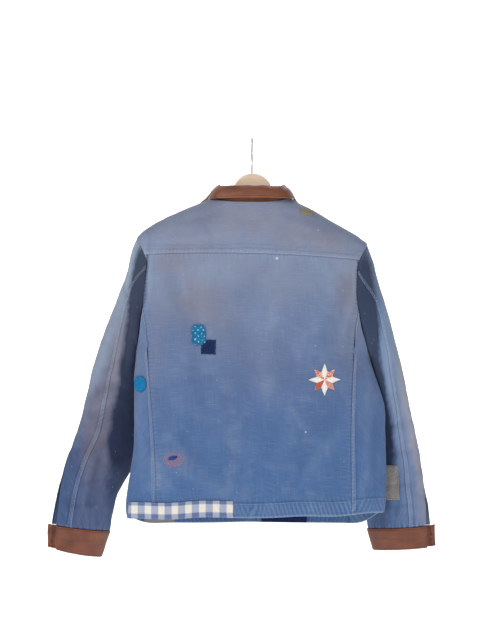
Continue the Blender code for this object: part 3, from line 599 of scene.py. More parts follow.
SLEEVE_FOLDS = {
    -1: [(-0.232, -0.300, -0.258, -0.480, 0.007, -0.0045, 0.004), (-0.246, -0.300, -0.275, -0.500, 0.008, 0.0028, 0.004),
         (-0.240, -0.440, -0.305, -0.470, 0.008, -0.0030, 0.006), (-0.245, -0.500, -0.325, -0.510, 0.009, -0.0034, 0.008),
         (-0.240, -0.540, -0.318, -0.585, 0.009, -0.0032, 0.006), (-0.250, -0.520, -0.330, -0.545, 0.007, 0.0022, 0.006),
         (-0.285, -0.560, -0.350, -0.545, 0.008, -0.0024, 0.0), (-0.260, -0.600, -0.345, -0.640, 0.010, -0.0026, 0.006),
         (-0.300, -0.620, -0.330, -0.760, 0.007, -0.0026, 0.003), (-0.318, -0.640, -0.350, -0.770, 0.007, 0.0022, 0.003),
         (-0.275, -0.350, -0.330, -0.520, 0.010, 0.0024, 0.003), (-0.290, -0.680, -0.355, -0.700, 0.006, -0.0018, 0.003),
         (-0.300, -0.730, -0.380, -0.745, 0.006, -0.0016, 0.002), (-0.355, -0.560, -0.372, -0.640, 0.006, -0.0020, 0.0),
         (-0.262, -0.260, -0.245, -0.330, 0.006, -0.0020, 0.0)],
    1: [(0.238, -0.300, 0.262, -0.470, 0.007, -0.0045, -0.003), (0.250, -0.290, 0.280, -0.470, 0.008, 0.0028, 0.0),
        (0.262, -0.470, 0.290, -0.640, 0.008, 0.0026, 0.002), (0.300, -0.430, 0.330, -0.640, 0.008, 0.0022, 0.0),
        (0.285, -0.440, 0.315, -0.620, 0.006, -0.0026, 0.0), (0.260, -0.520, 0.315, -0.500, 0.008, -0.0022, 0.0),
        (0.270, -0.580, 0.330, -0.560, 0.008, -0.0026, 0.0), (0.270, -0.640, 0.335, -0.620, 0.008, -0.0022, 0.0),
        (0.290, -0.660, 0.300, -0.770, 0.007, -0.0024, 0.002), (0.315, -0.650, 0.325, -0.770, 0.007, 0.0022, 0.0),
        (0.250, -0.700, 0.340, -0.690, 0.006, -0.0016, 0.0), (0.250, -0.740, 0.340, -0.735, 0.006, -0.0014, 0.0),
        (0.330, -0.590, 0.345, -0.680, 0.006, -0.0020, 0.0)],
}


def sleeve_cloth(side):
    def f(P, N):
        h = np.zeros(P.shape[:-1])
        k = 0.35 + 0.65 * np.clip(np.abs(N[..., 1]) * 1.5, 0, 1)
        for c in SLEEVE_FOLDS[side]:
            h += k * crease(P, *c)
        h += 0.0007 * bump2(P, 21 + side, 0.060, 0.090) + 0.0004 * bump2(P, 31 + side, 0.025, 0.032)
        # small gathers that run up from the cuff
        g = np.clip((P[..., 2] + 0.700) / -0.075, 0, 1)
        h += g * g * 0.0008 * np.sin(P[..., 0] / 0.0021 + 3 * np.sin(P[..., 1] / 0.01))
        return h
    return f


# ---------------------------------------------------------------- mesh making
def array(rows):
    return np.array([[tuple(p) for p in row] for row in rows], dtype=float)


def normals(P, outward):
    du = np.gradient(P, axis=1)
    dv = np.gradient(P, axis=0)
    N = np.cross(du, dv)
    N /= np.maximum(np.linalg.norm(N, axis=-1, keepdims=True), 1e-12)
    if np.mean(np.sum(N * outward(P), axis=-1)) < 0:
        N = -N
    return N


def from_body(P):
    Q = P.copy()
    Q[..., 2] = 0
    Q[..., 0] *= 0.25
    return Q


def spans(P):
    """Distances in metres from each point to the left, right, top and bottom edges of its grid."""
    a = np.linalg.norm(np.diff(P, axis=1), axis=-1)
    L = np.concatenate([np.zeros((P.shape[0], 1)), np.cumsum(a, axis=1)], axis=1)
    b = np.linalg.norm(np.diff(P, axis=0), axis=-1)
    T = np.concatenate([np.zeros((1, P.shape[1])), np.cumsum(b, axis=0)], axis=0)
    return dict(L=L, R=L[:, -1:] - L, T=T, B=T[-1:, :] - T)


PANELS = {}


def make_sheet(name, P, N, mat, wall, attrs=None, hole_cells=None, slot=None, node=None, D=None, bevel=True):
    """A closed thin cloth piece: outer skin at P, its wall below, with UVs in metres and per-point values for wear and
    painted shade.
    """
    nv, nu = P.shape[0], P.shape[1]
    mesh = bpy.data.meshes.new(name)
    idx = np.arange(nv * nu).reshape(nv, nu)
    a, b, c, d = idx[:-1, :-1], idx[:-1, 1:], idx[1:, 1:], idx[1:, :-1]
    quads = np.stack([a, b, c, d], axis=-1)
    keep = np.ones(quads.shape[:2], bool)
    if hole_cells is not None:
        keep &= ~hole_cells
    quads = quads[keep].reshape(-1, 4)
    e1 = P.reshape(-1, 3)[quads[len(quads) // 2][1]] - P.reshape(-1, 3)[quads[len(quads) // 2][0]]
    e2 = P.reshape(-1, 3)[quads[len(quads) // 2][3]] - P.reshape(-1, 3)[quads[len(quads) // 2][0]]
    if np.dot(np.cross(e1, e2), N.reshape(-1, 3)[quads[len(quads) // 2][0]]) < 0:
        quads = quads[:, ::-1]
    mesh.from_pydata(P.reshape(-1, 3).tolist(), [], quads.tolist())
    D = D or spans(P)
    uv = mesh.uv_layers.new(name="cut")
    loops = np.empty(len(mesh.loops), np.int32)
    mesh.loops.foreach_get("vertex_index", loops)
    W = np.stack([D["L"].reshape(-1)[loops], D["T"].reshape(-1)[loops]], axis=-1)
    uv.data.foreach_set("uv", W.astype(np.float32).reshape(-1))
    for key, val in (attrs or {}).items():
        at = mesh.attributes.new(key, "FLOAT", "POINT")
        at.data.foreach_set("value", np.clip(val, -2, 2).astype(np.float32).reshape(-1))
    mesh.polygons.foreach_set("use_smooth", [True] * len(mesh.polygons))
    mesh.update()
    ob = bpy.data.objects.new(name, mesh)
    bpy.context.scene.collection.objects.link(ob)
    mesh.materials.append(mat)
    s = ob.modifiers.new("wall", "SOLIDIFY")
    s.thickness = wall
    s.offset = -1
    s.use_even_offset = False
    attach(ob, "root")
    if node:
        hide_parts(*([node] if isinstance(node, str) else node))
    PANELS[name] = (P, N, D)
    return ob


def flat_facts(P0):
    """Cut size of a piece from its smooth surface: width, length, area."""
    D = spans(P0)
    w, l = float(D["L"][:, -1].max()), float(D["T"][-1, :].max())
    e1, e2 = P0[:-1, 1:] - P0[:-1, :-1], P0[1:, :-1] - P0[:-1, :-1]
    area = float(np.linalg.norm(np.cross(e1, e2), axis=-1).sum())
    return w, l, area


SHEETS = []


def declare(ob, P0):
    w, l, area = flat_facts(P0)
    l = max(l, area / w / 0.995)
    SHEETS.append((ob.name, round(w, 3), round(l, 3), round(area, 4)))


def felled(D, edge, along, width=0.0085, rise=0.0007, seed=1, pucker=0.00035, period=0.0075):
    """Height and colour of a lapped, twice-stitched seam along one edge: worn roping and fold, and a painted shade line
    just past the lapped edge.
    """
    d, w = D[edge], D[along]
    ramp = np.clip(d / 0.0010, 0, 1) * np.clip((width + 0.0016 - d) / 0.0016, 0, 1)
    ripple = np.sin(w * 6.2832 / period + 2.2 * waves(w, seed, 0.011))
    near = np.exp(-(d / 0.010) ** 2)
    h = rise * ramp + pucker * ripple * near - 0.0004 * np.exp(-(d / 0.0011) ** 2)
    for row in (0.0018, 0.0068):
        h -= 0.00016 * np.exp(-((d - row) / 0.0008) ** 2)
    # pale roping and a pale worn fold; the negative term past the edge is painted shade
    wear_and_shade = near * (0.22 + 0.26 * ripple) + 0.35 * np.exp(-((d - 0.0012) / 0.0012) ** 2) - 0.28 * np.exp(-((d - width - 0.0022) / 0.0012) ** 2)
    return h, wear_and_shade


def plain_seam(D, edge, along, seed=1, pucker=0.00030, period=0.0075):
    d, w = D[edge], D[along]
    ripple = np.sin(w * 6.2832 / period + 2.2 * waves(w, seed, 0.011))
    near = np.exp(-(d / 0.008) ** 2)
    # pale roping near the seam, and painted shade in the seam line's groove
    return pucker * ripple * near - 0.0004 * np.exp(-(d / 0.0020) ** 2), near * (0.08 + 0.22 * ripple) - 0.35 * np.exp(-(d / 0.0014) ** 2)


def hem_relief(D, deep=0.030, seed=5, rope=0.00055, period=0.0085):
    """Turned-up hem: a thicker band with slanted roping along its stitch line."""
    d, w = D["B"], D["L"]
    band = np.clip((deep - d) / 0.0016, 0, 1)
    slant = np.sin((w + 0.35 * d) * 6.2832 / period + 1.8 * waves(w, seed, 0.02))
    inside = np.exp(-((d - deep * 0.55) / (deep * 0.6)) ** 2)
    h = 0.0008 * band + rope * slant * inside - 0.0004 * np.exp(-((d - deep + 0.0025) / 0.0009) ** 2)
    h = np.where(d < 0.0016, h - 0.0006 * (1 - d / 0.0016) ** 2, h)
    # pale roping and a pale worn fold at the hem's edge; the dark line just above the band is painted shade under its
    # top edge
    wear_and_shade = inside * (0.10 + 0.30 * slant) + 0.8 * np.exp(-(d / 0.0016) ** 2) - 0.45 * np.exp(-((d - deep - 0.0012) / 0.0013) ** 2)
    return h, wear_and_shade


# ---------------------------------------------------------------- stitches
STITCH_SETS = {}


def edge_line(name, edge, dist, lo=0.0, hi=1.0, lift=0.00022):
    """Points and normals on a made panel at a distance from one edge."""
    P, N, D = PANELS[name]
    A = D[edge]
    pts, nrm = [], []
    rows = edge in "LR"
    n = P.shape[0] if rows else P.shape[1]
    for j in range(int(lo * (n - 1)), int(hi * (n - 1)) + 1):
        line, p, q = (A[j], P[j], N[j]) if rows else (A[:, j], P[:, j], N[:, j])
        k = np.arange(len(line))
        order = np.argsort(line)
        f = np.interp(dist, line[order], k[order])
        i = min(int(f), len(line) - 2)
        t = f - i
        pts.append(p[i] * (1 - t) + p[i + 1] * t + q[i] * lift)
        nrm.append(q[i])
    return np.array(pts), np.array(nrm)


def add_stitches(group, pts, nrm, pitch=0.0031, fill=0.74, radius=0.00036):
    seg = np.linalg.norm(np.diff(pts, axis=0), axis=1)
    s = np.concatenate([[0], np.cumsum(seg)])
    if s[-1] < pitch * 2:
        return
    count = int(s[-1] / pitch)
    mids = (np.arange(count) + 0.5) * pitch

    def at(x, a):
        return np.stack([np.interp(x, s, a[:, k]) for k in range(3)], axis=-1)
    A, B = at(mids - pitch * fill / 2, pts), at(mids + pitch * fill / 2, pts)
    n = at(mids, nrm)
    n /= np.linalg.norm(n, axis=1, keepdims=True)
    STITCH_SETS.setdefault(group, []).append((A, B, n, radius))


def sew(group, mat):
    V, F = [], []
    for A, B, n, r in STITCH_SETS.get(group, []):
        t = B - A
        t /= np.maximum(np.linalg.norm(t, axis=1, keepdims=True), 1e-9)
        side = np.cross(t, n)
        for k in range(len(A)):
            o = len(V)
            a, b, m = A[k] - n[k] * r * 0.8, B[k] - n[k] * r * 0.8, (A[k] + B[k]) / 2
            ring = []
            for f in (0.22, 0.78):
                c = A[k] * (1 - f) + B[k] * f
                ring += [c + n[k] * r, c + side[k] * r, c - n[k] * r, c - side[k] * r]
            V += [a, b] + ring
            for q in range(4):
                F.append((o, o + 2 + (q + 1) % 4, o + 2 + q))
                F.append((o + 2 + q, o + 2 + (q + 1) % 4, o + 6 + (q + 1) % 4, o + 6 + q))
                F.append((o + 1, o + 6 + q, o + 6 + (q + 1) % 4))
    mesh = bpy.data.meshes.new(group)
    mesh.from_pydata([tuple(v) for v in V], [], F)
    mesh.polygons.foreach_set("use_smooth", [True] * len(mesh.polygons))
    mesh.materials.append(mat)
    bm = bmesh.new()
    bm.from_mesh(mesh)
    bmesh.ops.recalc_face_normals(bm, faces=bm.faces)
    bm.to_mesh(mesh)
    bm.free()
    ob = bpy.data.objects.new(group, mesh)
    bpy.context.scene.collection.objects.link(ob)
    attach(ob, "root")
    return ob


# ---------------------------------------------------------------- materials
def lin(r, g, b):
    return tuple(((c / 255) / 12.92 if c <= 10 else ((c / 255 + 0.055) / 1.055) ** 2.4) for c in (r, g, b)) + (1.0,)


class Nodes:
    def __init__(self, name, rough=0.8, metal=0.0):
        self.m = bpy.data.materials.new(name)
        self.m.use_nodes = True
        self.t = self.m.node_tree
        self.p = self.t.nodes["Principled BSDF"]
        self.p.inputs["Roughness"].default_value = rough
        self.p.inputs["Metallic"].default_value = metal

    def new(self, kind, **ins):
        n = self.t.nodes.new(kind)
        for k, v in ins.items():
            self.put(n, k.replace("_", " "), v)
        return n

    def put(self, n, k, v):
        s = n.inputs[int(k) if k.isdigit() else k]
        if isinstance(v, bpy.types.NodeSocket):
            self.t.links.new(v, s)
        else:
            s.default_value = v

    def math(self, op, a, b=0.0, c=0.0, clamp=False):
        n = self.t.nodes.new("ShaderNodeMath")
        n.operation = op
        n.use_clamp = clamp
        for i, v in enumerate((a, b, c)):
            self.put(n, str(i), v)
        return n.outputs[0]

    def mix(self, a, b, f, mode="MIX"):
        n = self.t.nodes.new("ShaderNodeMix")
        n.data_type = "RGBA"
        n.blend_type = mode
        self.put(n, "0", f)
        self.put(n, "6", a)
        self.put(n, "7", b)
        return n.outputs[2]

    def attr(self, name):
        n = self.t.nodes.new("ShaderNodeAttribute")
        n.attribute_name = name
        return n.outputs["Fac"]

    def where(self, kind="Object"):
        return self.t.nodes.new("ShaderNodeTexCoord").outputs[kind]

    def scaled(self, vec, sx, sy, sz):
        n = self.t.nodes.new("ShaderNodeVectorMath")
        n.operation = "MULTIPLY"
        self.put(n, "0", vec)
        n.inputs[1].default_value = (sx, sy, sz)
        return n.outputs[0]

    def noise(self, vec, scale, detail=3.0, rough=0.55):
        n = self.t.nodes.new("ShaderNodeTexNoise")
        self.put(n, "Vector", vec)
        n.inputs["Scale"].default_value = scale
        n.inputs["Detail"].default_value = detail
        n.inputs["Roughness"].default_value = rough
        return n.outputs["Fac"]

    def ramp(self, f, stops, ease="EASE"):
        n = self.t.nodes.new("ShaderNodeValToRGB")
        n.color_ramp.interpolation = ease
        e = n.color_ramp.elements
        while len(e) < len(stops):
            e.new(0.5)
        for k, (pos, col) in enumerate(stops):
            e[k].position = pos
            e[k].color = col if len(col) == 4 else (*col, 1)
        self.put(n, "Fac", f)
        return n.outputs["Color"]

    def range(self, v, a, b, c, d):
        n = self.t.nodes.new("ShaderNodeMapRange")
        for k, x in zip(("Value", "From Min", "From Max", "To Min", "To Max"), (v, a, b, c, d)):
            self.put(n, k, x)
        return n.outputs[0]

    def bump(self, height, strength=0.5, distance=0.0003, normal=None):
        n = self.t.nodes.new("ShaderNodeBump")
        n.inputs["Strength"].default_value = strength
        n.inputs["Distance"].default_value = distance
        self.put(n, "Height", height)
        if normal is not None:
            self.put(n, "Normal", normal)
        return n.outputs["Normal"]

    def axis(self, vec, k):
        n = self.t.nodes.new("ShaderNodeSeparateXYZ")
        self.put(n, "0", vec)
        return n.outputs[k]

    def weave(self, period=0.0009, vec=None):
        """Twill-like weave height from the cut's own UVs, in metres."""
        uv = vec or self.where("UV")
        u, v = self.axis(uv, 0), self.axis(uv, 1)
        k = 6.2832 / period
        a = self.math("SINE", self.math("MULTIPLY", self.math("ADD", u, self.math("MULTIPLY", v, 0.55)), k))
        b = self.math("SINE", self.math("MULTIPLY", v, k * 1.35))
        return self.math("ADD", self.math("MULTIPLY", a, 0.5), self.math("MULTIPLY", b, 0.35))


# small spots of old white paint on the back: (x, z, radius)
FLECKS = [(0.0485, -0.2420, 0.0034), (0.1300, -0.1860, 0.0014), (0.1050, -0.5830, 0.0020), (-0.3190, -0.6110, 0.0022), (-0.3390, -0.6210, 0.0018)]


def cloth_material(name, top, stops, tint, dark, light, sleeve_side=0):
    """Faded indigo cotton: height fade, brown dust, worn ridges, painted shade in hollows and seam grooves, painted
    shade and highlight on the sleeves, slub lines and a fine weave.
    """
    M = Nodes(name, rough=0.92)
    pos, uv = M.where("Object"), M.where("UV")
    z = M.axis(pos, 2)
    f = M.range(z, -0.80, -0.10, 0.0, 1.0)
    wander = M.math("MULTIPLY", M.math("SUBTRACT", M.noise(pos, 6.0, 3.0), 0.5), 0.22)
    base = M.ramp(M.math("ADD", f, wander), stops, "LINEAR")
    cloud = M.noise(M.scaled(pos, 1, 1, 0.8), 15.0, 5.0, 0.62)
    base = M.mix(base, light, M.range(cloud, 0.53, 0.80, 0.0, 0.27))
    base = M.mix(base, dark, M.range(cloud, 0.48, 0.24, 0.0, 0.24))
    # slub: short threads that run across, and longer ones that run down
    across = M.noise(M.scaled(uv, 28.0, 900.0, 1.0), 1.0, 2.0, 0.6)
    down = M.noise(M.scaled(uv, 800.0, 22.0, 1.0), 1.0, 2.0, 0.6)
    base = M.mix(base, light, M.range(across, 0.55, 0.80, 0.0, 0.34))
    base = M.mix(base, dark, M.range(across, 0.45, 0.22, 0.0, 0.30))
    base = M.mix(base, dark, M.range(down, 0.47, 0.22, 0.0, 0.18))
    base = M.mix(base, light, M.range(down, 0.56, 0.82, 0.0, 0.20))
    # brown dust, broken up
    grit = M.noise(pos, 38.0, 5.0, 0.65)
    dust = M.math("MULTIPLY", M.attr("tint"), M.range(grit, 0.30, 0.70, 0.55, 1.15), clamp=True)
    base = M.mix(base, tint, dust)
    # worn, pale ridges from the relief, with painted highlight on the sleeves' outer sides; painted shade in hollows,
    # seam grooves and on the sleeves' inner sides
    wear_and_shade = M.attr("wear_and_shade")
    speck = M.noise(uv, 900.0, 3.0, 0.7)
    base = M.mix(base, light, M.math("MULTIPLY", M.range(wear_and_shade, 0.0, 1.0, 0.0, 0.75), M.range(speck, 0.3, 0.65, 0.45, 1.1), clamp=True))
    base = M.mix(base, dark, M.range(wear_and_shade, 0.0, -1.0, 0.0, 0.85))
    base = M.mix(base, M.mix(base, (1, 1, 1, 1), 0.5), M.math("MULTIPLY", M.attr("pale"), 1.0, clamp=True))
    flecks = M.noise(uv, 150.0, 1.0, 0.5)
    base = M.mix(base, light, M.range(flecks, 0.755, 0.78, 0.0, 0.5))
    base = M.mix(base, (0.76, 0.80, 0.82, 1), 1.0, "MULTIPLY")
    behind = M.range(M.axis(pos, 1), 0.01, -0.01, 0.0, 0.75)
    for x, z, r in FLECKS:
        d = M.t.nodes.new("ShaderNodeVectorMath")
        d.operation = "DISTANCE"
        M.put(d, "0", M.scaled(pos, 1, 0, 1))
        d.inputs[1].default_value = (x, 0, z)
        ragged = M.math("ADD", d.outputs["Value"], M.math("MULTIPLY", M.math("SUBTRACT", M.noise(pos, 420.0, 3.0), 0.5), r * 1.3))
        base = M.mix(base, lin(214, 214, 216), M.math("MULTIPLY", behind, M.range(ragged, r, r * 0.3, 0.0, 1.0)))
    M.put(M.p, "Base Color", base)
    M.p.inputs["Sheen Weight"].default_value = 0.10
    M.p.inputs["Sheen Roughness"].default_value = 0.6
    M.p.inputs["Specular IOR Level"].default_value = 0.15
    weave = M.weave()
    fuzz = M.noise(uv, 1500.0, 2.0, 0.6)
    h = M.math("ADD", M.math("MULTIPLY", weave, 0.5), M.math("ADD", fuzz, M.math("MULTIPLY", across, 1.6)))
    n1 = M.bump(h, 0.55, 0.00022)
    n2 = M.bump(M.noise(M.scaled(pos, 1, 1, 0.8), 70.0, 4.0, 0.6), 0.35, 0.0022, n1)
    M.put(M.p, "Normal", n2)
    return M.m


BODY_STOPS = [(0.00, lin(74, 111, 158)), (0.12, lin(76, 109, 157)), (0.30, lin(82, 111, 158)), (0.45, lin(94, 115, 156)),
              (0.62, lin(116, 132, 166)), (0.78, lin(136, 148, 176)), (0.88, lin(140, 146, 170)), (1.00, lin(138, 142, 164))]
SLEEVE_STOPS = [(0.00, lin(72, 94, 138)), (0.12, lin(74, 94, 136)), (0.30, lin(78, 90, 126)), (0.45, lin(98, 106, 134)),
                (0.62, lin(122, 130, 152)), (0.78, lin(150, 164, 184)), (0.88, lin(152, 164, 184)), (1.00, lin(146, 156, 178))]
SLEEVE_R_STOPS = [(0.00, lin(88, 112, 156)), (0.12, lin(92, 116, 158)), (0.30, lin(96, 118, 160)), (0.45, lin(122, 142, 174)),
                  (0.62, lin(120, 142, 178)), (0.78, lin(122, 138, 172)), (0.88, lin(130, 142, 172)), (1.00, lin(132, 142, 170))]
# DARK and LIGHT also act as painted shade and painted highlight colours through the wear_and_shade values
TINT, DARK, LIGHT = lin(142, 128, 130), lin(52, 68, 106), lin(176, 186, 206)
BLUE = cloth_material("blue_cotton", 0, BODY_STOPS, TINT, DARK, LIGHT)
# The sleeves get their own copies of the cloth: their ramps follow each sleeve as lit, so the left one's paler top is
# partly painted highlight, and their near-black dark blues are the painted shade colour for the sleeves' inner sides.
BLUE_L = cloth_material("blue_cotton_left", 0, SLEEVE_STOPS, lin(134, 122, 130), lin(20, 32, 62), LIGHT)
BLUE_R = cloth_material("blue_cotton_right", 0, SLEEVE_R_STOPS, lin(158, 150, 158), lin(26, 36, 64), LIGHT)


def plain_cloth(name, colour, second, dots=0.0, rough=0.9, weave=0.0008):
    M = Nodes(name, rough)
    uv = M.where("UV")
    n = M.noise(uv, 260.0, 4.0, 0.65)
    base = M.mix(colour, second, M.range(n, 0.38, 0.68, 0.0, 1.0))
    thread = M.noise(M.scaled(uv, 60, 1400, 1), 1.0, 2.0)
    base = M.mix(base, second, M.range(thread, 0.50, 0.75, 0.0, 0.5))
    M.put(M.p, "Base Color", base)
    M.p.inputs["Specular IOR Level"].default_value = 0.15
    h = M.math("ADD", M.weave(weave), M.noise(uv, 1200.0, 2.0))
    M.put(M.p, "Normal", M.bump(M.noise(uv, 120.0, 3.0), 0.3, 0.0010, M.bump(h, 0.5, 0.00020)))
    return M, base, uv


NAVY_M, _b, _u = plain_cloth("navy_cotton", lin(16, 30, 66), lin(30, 46, 88))
TEAL_M, _b, _u = plain_cloth("teal_cotton", lin(10, 98, 150), lin(34, 122, 170))
KHAKI_M, _b, _u = plain_cloth("grey_canvas", lin(128, 126, 126), lin(158, 154, 146), weave=0.0016)
MUST_M, _b, _u = plain_cloth("mustard_cotton", lin(146, 134, 86), lin(126, 120, 102), weave=0.0014)
WHITE_M, _b, _u = plain_cloth("quilt_white", lin(236, 230, 222), lin(214, 206, 196))
RED2_M, _b, _u = plain_cloth("quilt_red_plain", lin(158, 56, 38), lin(206, 112, 84))

# printed red diamonds: warm ground with small pale specks, a common calico
RED_M, red_base, red_uv = plain_cloth("quilt_red", lin(176, 82, 66), lin(216, 142, 118))
v = RED_M.t.nodes.new("ShaderNodeTexVoronoi")
v.inputs["Scale"].default_value = 420.0
RED_M.put(v, "Vector", red_uv)
RED_M.put(RED_M.p, "Base Color", RED_M.mix(red_base, lin(244, 222, 206), RED_M.range(v.outputs["Distance"], 0.46, 0.26, 0.0, 0.95)))

# teal ground with small white dots in a staggered repeat
DOT_M, dot_base, dot_uv = plain_cloth("dotted_cotton", lin(8, 84, 128), lin(34, 124, 164))
u = DOT_M.math("ADD", DOT_M.axis(dot_uv, 0), DOT_M.math("MULTIPLY", DOT_M.math("SUBTRACT", DOT_M.noise(dot_uv, 90.0, 1.0), 0.5), 0.010))
w = DOT_M.math("ADD", DOT_M.axis(dot_uv, 1), DOT_M.math("MULTIPLY", DOT_M.math("SUBTRACT", DOT_M.noise(DOT_M.scaled(dot_uv, 1.1, -1.0, 1), 90.0, 1.0), 0.5), 0.010))
ku, kw = 6.2832 / 0.0124, 6.2832 / 0.0118
d1 = DOT_M.math("ADD", DOT_M.math("COSINE", DOT_M.math("MULTIPLY", u, ku)), DOT_M.math("COSINE", DOT_M.math("MULTIPLY", w, kw)))
d2 = DOT_M.math("SUBTRACT", 0.0, d1)
dots = DOT_M.math("MULTIPLY", DOT_M.math("MAXIMUM", DOT_M.range(d1, 1.56, 1.80, 0.0, 0.85), DOT_M.range(d2, 1.70, 1.90, 0.0, 0.65)), DOT_M.range(DOT_M.noise(dot_uv, 130.0, 2.0), 0.32, 0.62, 0.35, 1.0))
small = DOT_M.math("MULTIPLY", DOT_M.math("COSINE", DOT_M.math("MULTIPLY", u, ku * 2)), DOT_M.math("COSINE", DOT_M.math("MULTIPLY", w, kw * 2)))
dot_col = DOT_M.mix(dot_base, lin(120, 180, 216), DOT_M.range(small, 0.84, 0.97, 0.0, 0.40))
DOT_M.put(DOT_M.p, "Base Color", DOT_M.mix(dot_col, lin(188, 214, 228), dots))

GING_M, g_base, g_uv = plain_cloth("gingham", lin(226, 217, 203), lin(212, 206, 200))
gu, gv = GING_M.axis(g_uv, 0), GING_M.axis(g_uv, 1)
col = GING_M.math("COSINE", GING_M.math("MULTIPLY", GING_M.math("SUBTRACT", gu, 0.0122), 6.2832 / 0.0268))
row = GING_M.math("COSINE", GING_M.math("MULTIPLY", GING_M.math("SUBTRACT", gv, 0.0148), 6.2832 / 0.0290))
cb, rb = GING_M.range(col, 0.26, -0.10, 0.0, 1.0), GING_M.range(row, 0.02, -0.34, 0.0, 1.0)
both = GING_M.math("MULTIPLY", cb, rb)
one = GING_M.math("MAXIMUM", cb, rb)
g = GING_M.mix(g_base, lin(150, 160, 182), GING_M.math("MULTIPLY", one, 0.92))
g = GING_M.mix(g, lin(92, 106, 146), GING_M.math("MULTIPLY", both, 0.95))
gn = GING_M.noise(GING_M.scaled(g_uv, 900, 60, 1), 1.0, 2.0)
g = GING_M.mix(g, lin(120, 128, 156), GING_M.range(gn, 0.56, 0.80, 0.0, 0.40))
GING_M.put(GING_M.p, "Base Color", g)


def leather(name, base, deep, high, scale=1.0):
    M = Nodes(name, 0.42)
    pos, uv = M.where("Object"), M.where("UV")
    big = M.noise(pos, 22.0, 4.0, 0.6)
    c = M.mix(base, deep, M.range(big, 0.46, 0.74, 0.0, 0.35))
    c = M.mix(c, high, M.range(big, 0.50, 0.25, 0.0, 0.22))
    v = M.t.nodes.new("ShaderNodeTexVoronoi")
    v.feature = "DISTANCE_TO_EDGE"
    v.inputs["Scale"].default_value = 900.0 * scale
    M.put(v, "Vector", M.mix(pos, M.noise(pos, 300.0), 0.0008))
    cells = M.range(v.outputs["Distance"], 0.0, 0.12, 0.0, 1.0)
    c = M.mix(c, deep, M.range(cells, 0.6, 0.0, 0.0, 0.45))
    # positive values lighten for rubbed edges and, on the cuffs, painted highlight on fold ridges; negative values
    # darken as painted shade in stitch grooves and fold hollows
    c = M.mix(c, high, M.math("MULTIPLY", M.range(M.attr("wear_and_shade"), 0.0, 1.0, 0.0, 0.85), M.range(M.noise(pos, 240.0, 3.0), 0.3, 0.6, 0.4, 1.0), clamp=True))
    c = M.mix(c, lin(34, 16, 10), M.range(M.attr("wear_and_shade"), 0.0, -1.0, 0.0, 0.9))
    M.put(M.p, "Base Color", c)
    M.put(M.p, "Roughness", M.range(M.noise(pos, 60.0, 3.0), 0.3, 0.7, 0.36, 0.60))
    M.p.inputs["Specular IOR Level"].default_value = 0.45
    wr = M.noise(M.scaled(pos, 1.0, 1.0, 2.6), 55.0, 4.0, 0.6)
    n1 = M.bump(M.math("ADD", cells, M.math("MULTIPLY", M.noise(pos, 1400.0, 2.0), 0.4)), 0.45, 0.00020)
    M.put(M.p, "Normal", M.bump(wr, 0.22, 0.0020, n1))
    return M.m


HIDE = leather("brown_leather", lin(112, 58, 36), lin(66, 32, 20), lin(142, 86, 60))
HIDE_C = leather("brown_leather_collar", lin(120, 68, 44), lin(78, 42, 28), lin(150, 98, 72), 1.2)

WOOD = Nodes("pale_wood", 0.42)
wp = WOOD.where("Object")
g1 = WOOD.noise(WOOD.scaled(wp, 6.0, 30.0, 70.0), 1.0, 5.0, 0.6)
g2 = WOOD.noise(WOOD.scaled(wp, 40.0, 200.0, 900.0), 1.0, 3.0, 0.6)
wc = WOOD.ramp(g1, [(0.25, lin(222, 188, 158)), (0.5, lin(238, 210, 184)), (0.75, lin(244, 220, 198))], "LINEAR")
wc = WOOD.mix(wc, lin(184, 142, 106), WOOD.range(g2, 0.55, 0.80, 0.0, 0.5))
WOOD.put(WOOD.p, "Base Color", wc)
WOOD.p.inputs["Coat Weight"].default_value = 0.25
WOOD.p.inputs["Coat Roughness"].default_value = 0.25
WOOD.put(WOOD.p, "Normal", WOOD.bump(g2, 0.25, 0.0002))

STEEL = Nodes("steel", 0.28, 1.0)
sp_ = STEEL.where("Object")
sn = STEEL.noise(STEEL.scaled(sp_, 300, 300, 40), 1.0, 3.0)
STEEL.put(STEEL.p, "Base Color", STEEL.mix(lin(196, 198, 202), lin(168, 170, 176), STEEL.range(sn, 0.4, 0.7, 0.0, 1.0)))
STEEL.put(STEEL.p, "Roughness", STEEL.range(sn, 0.3, 0.7, 0.22, 0.36))

HORN = Nodes("button", 0.35)
hp = HORN.where("Object")
hn = HORN.noise(HORN.scaled(hp, 1.0, 1.0, 3.0), 220.0, 4.0)
HORN.put(HORN.p, "Base Color", HORN.ramp(hn, [(0.3, lin(48, 34, 26)), (0.5, lin(82, 60, 44)), (0.75, lin(120, 92, 66))], "LINEAR"))
HORN.put(HORN.p, "Normal", HORN.bump(hn, 0.2, 0.0003))


def thread(name, a, b):
    M = Nodes(name, 0.75)
    p = M.where("Object")
    M.put(M.p, "Base Color", M.mix(a, b, M.range(M.noise(p, 260.0, 2.0), 0.35, 0.65, 0.0, 1.0)))
    M.put(M.p, "Normal", M.bump(M.noise(p, 3000.0, 2.0), 0.4, 0.0001))
    return M.m


THREAD = thread("seam_thread", lin(172, 180, 200), lin(128, 142, 172))
THREAD_D = thread("dark_thread", lin(58, 74, 112), lin(90, 104, 140))
THREAD_B = thread("leather_thread", lin(96, 58, 40), lin(60, 34, 24))
THREAD_W = thread("white_thread", lin(228, 224, 216), lin(198, 196, 194))
THREAD_P = thread("darning_thread", lin(214, 118, 134), lin(176, 132, 160))
THREAD_N = thread("darning_blue", lin(14, 36, 96), lin(30, 84, 170))
PAINT = thread("paint_fleck", lin(236, 234, 228), lin(210, 212, 214))


# ---------------------------------------------------------------- dust spots, wear and painted shade
def spots(P, places):
    """Soft spots: (x, z, half width, half height, amount)."""
    out = np.zeros(P.shape[:-1])
    for x, z, rx, rz, a in places:
        out += a * np.exp(-(((P[..., 0] - x) / rx) ** 2 + ((P[..., 2] - z) / rz) ** 2))
    return out


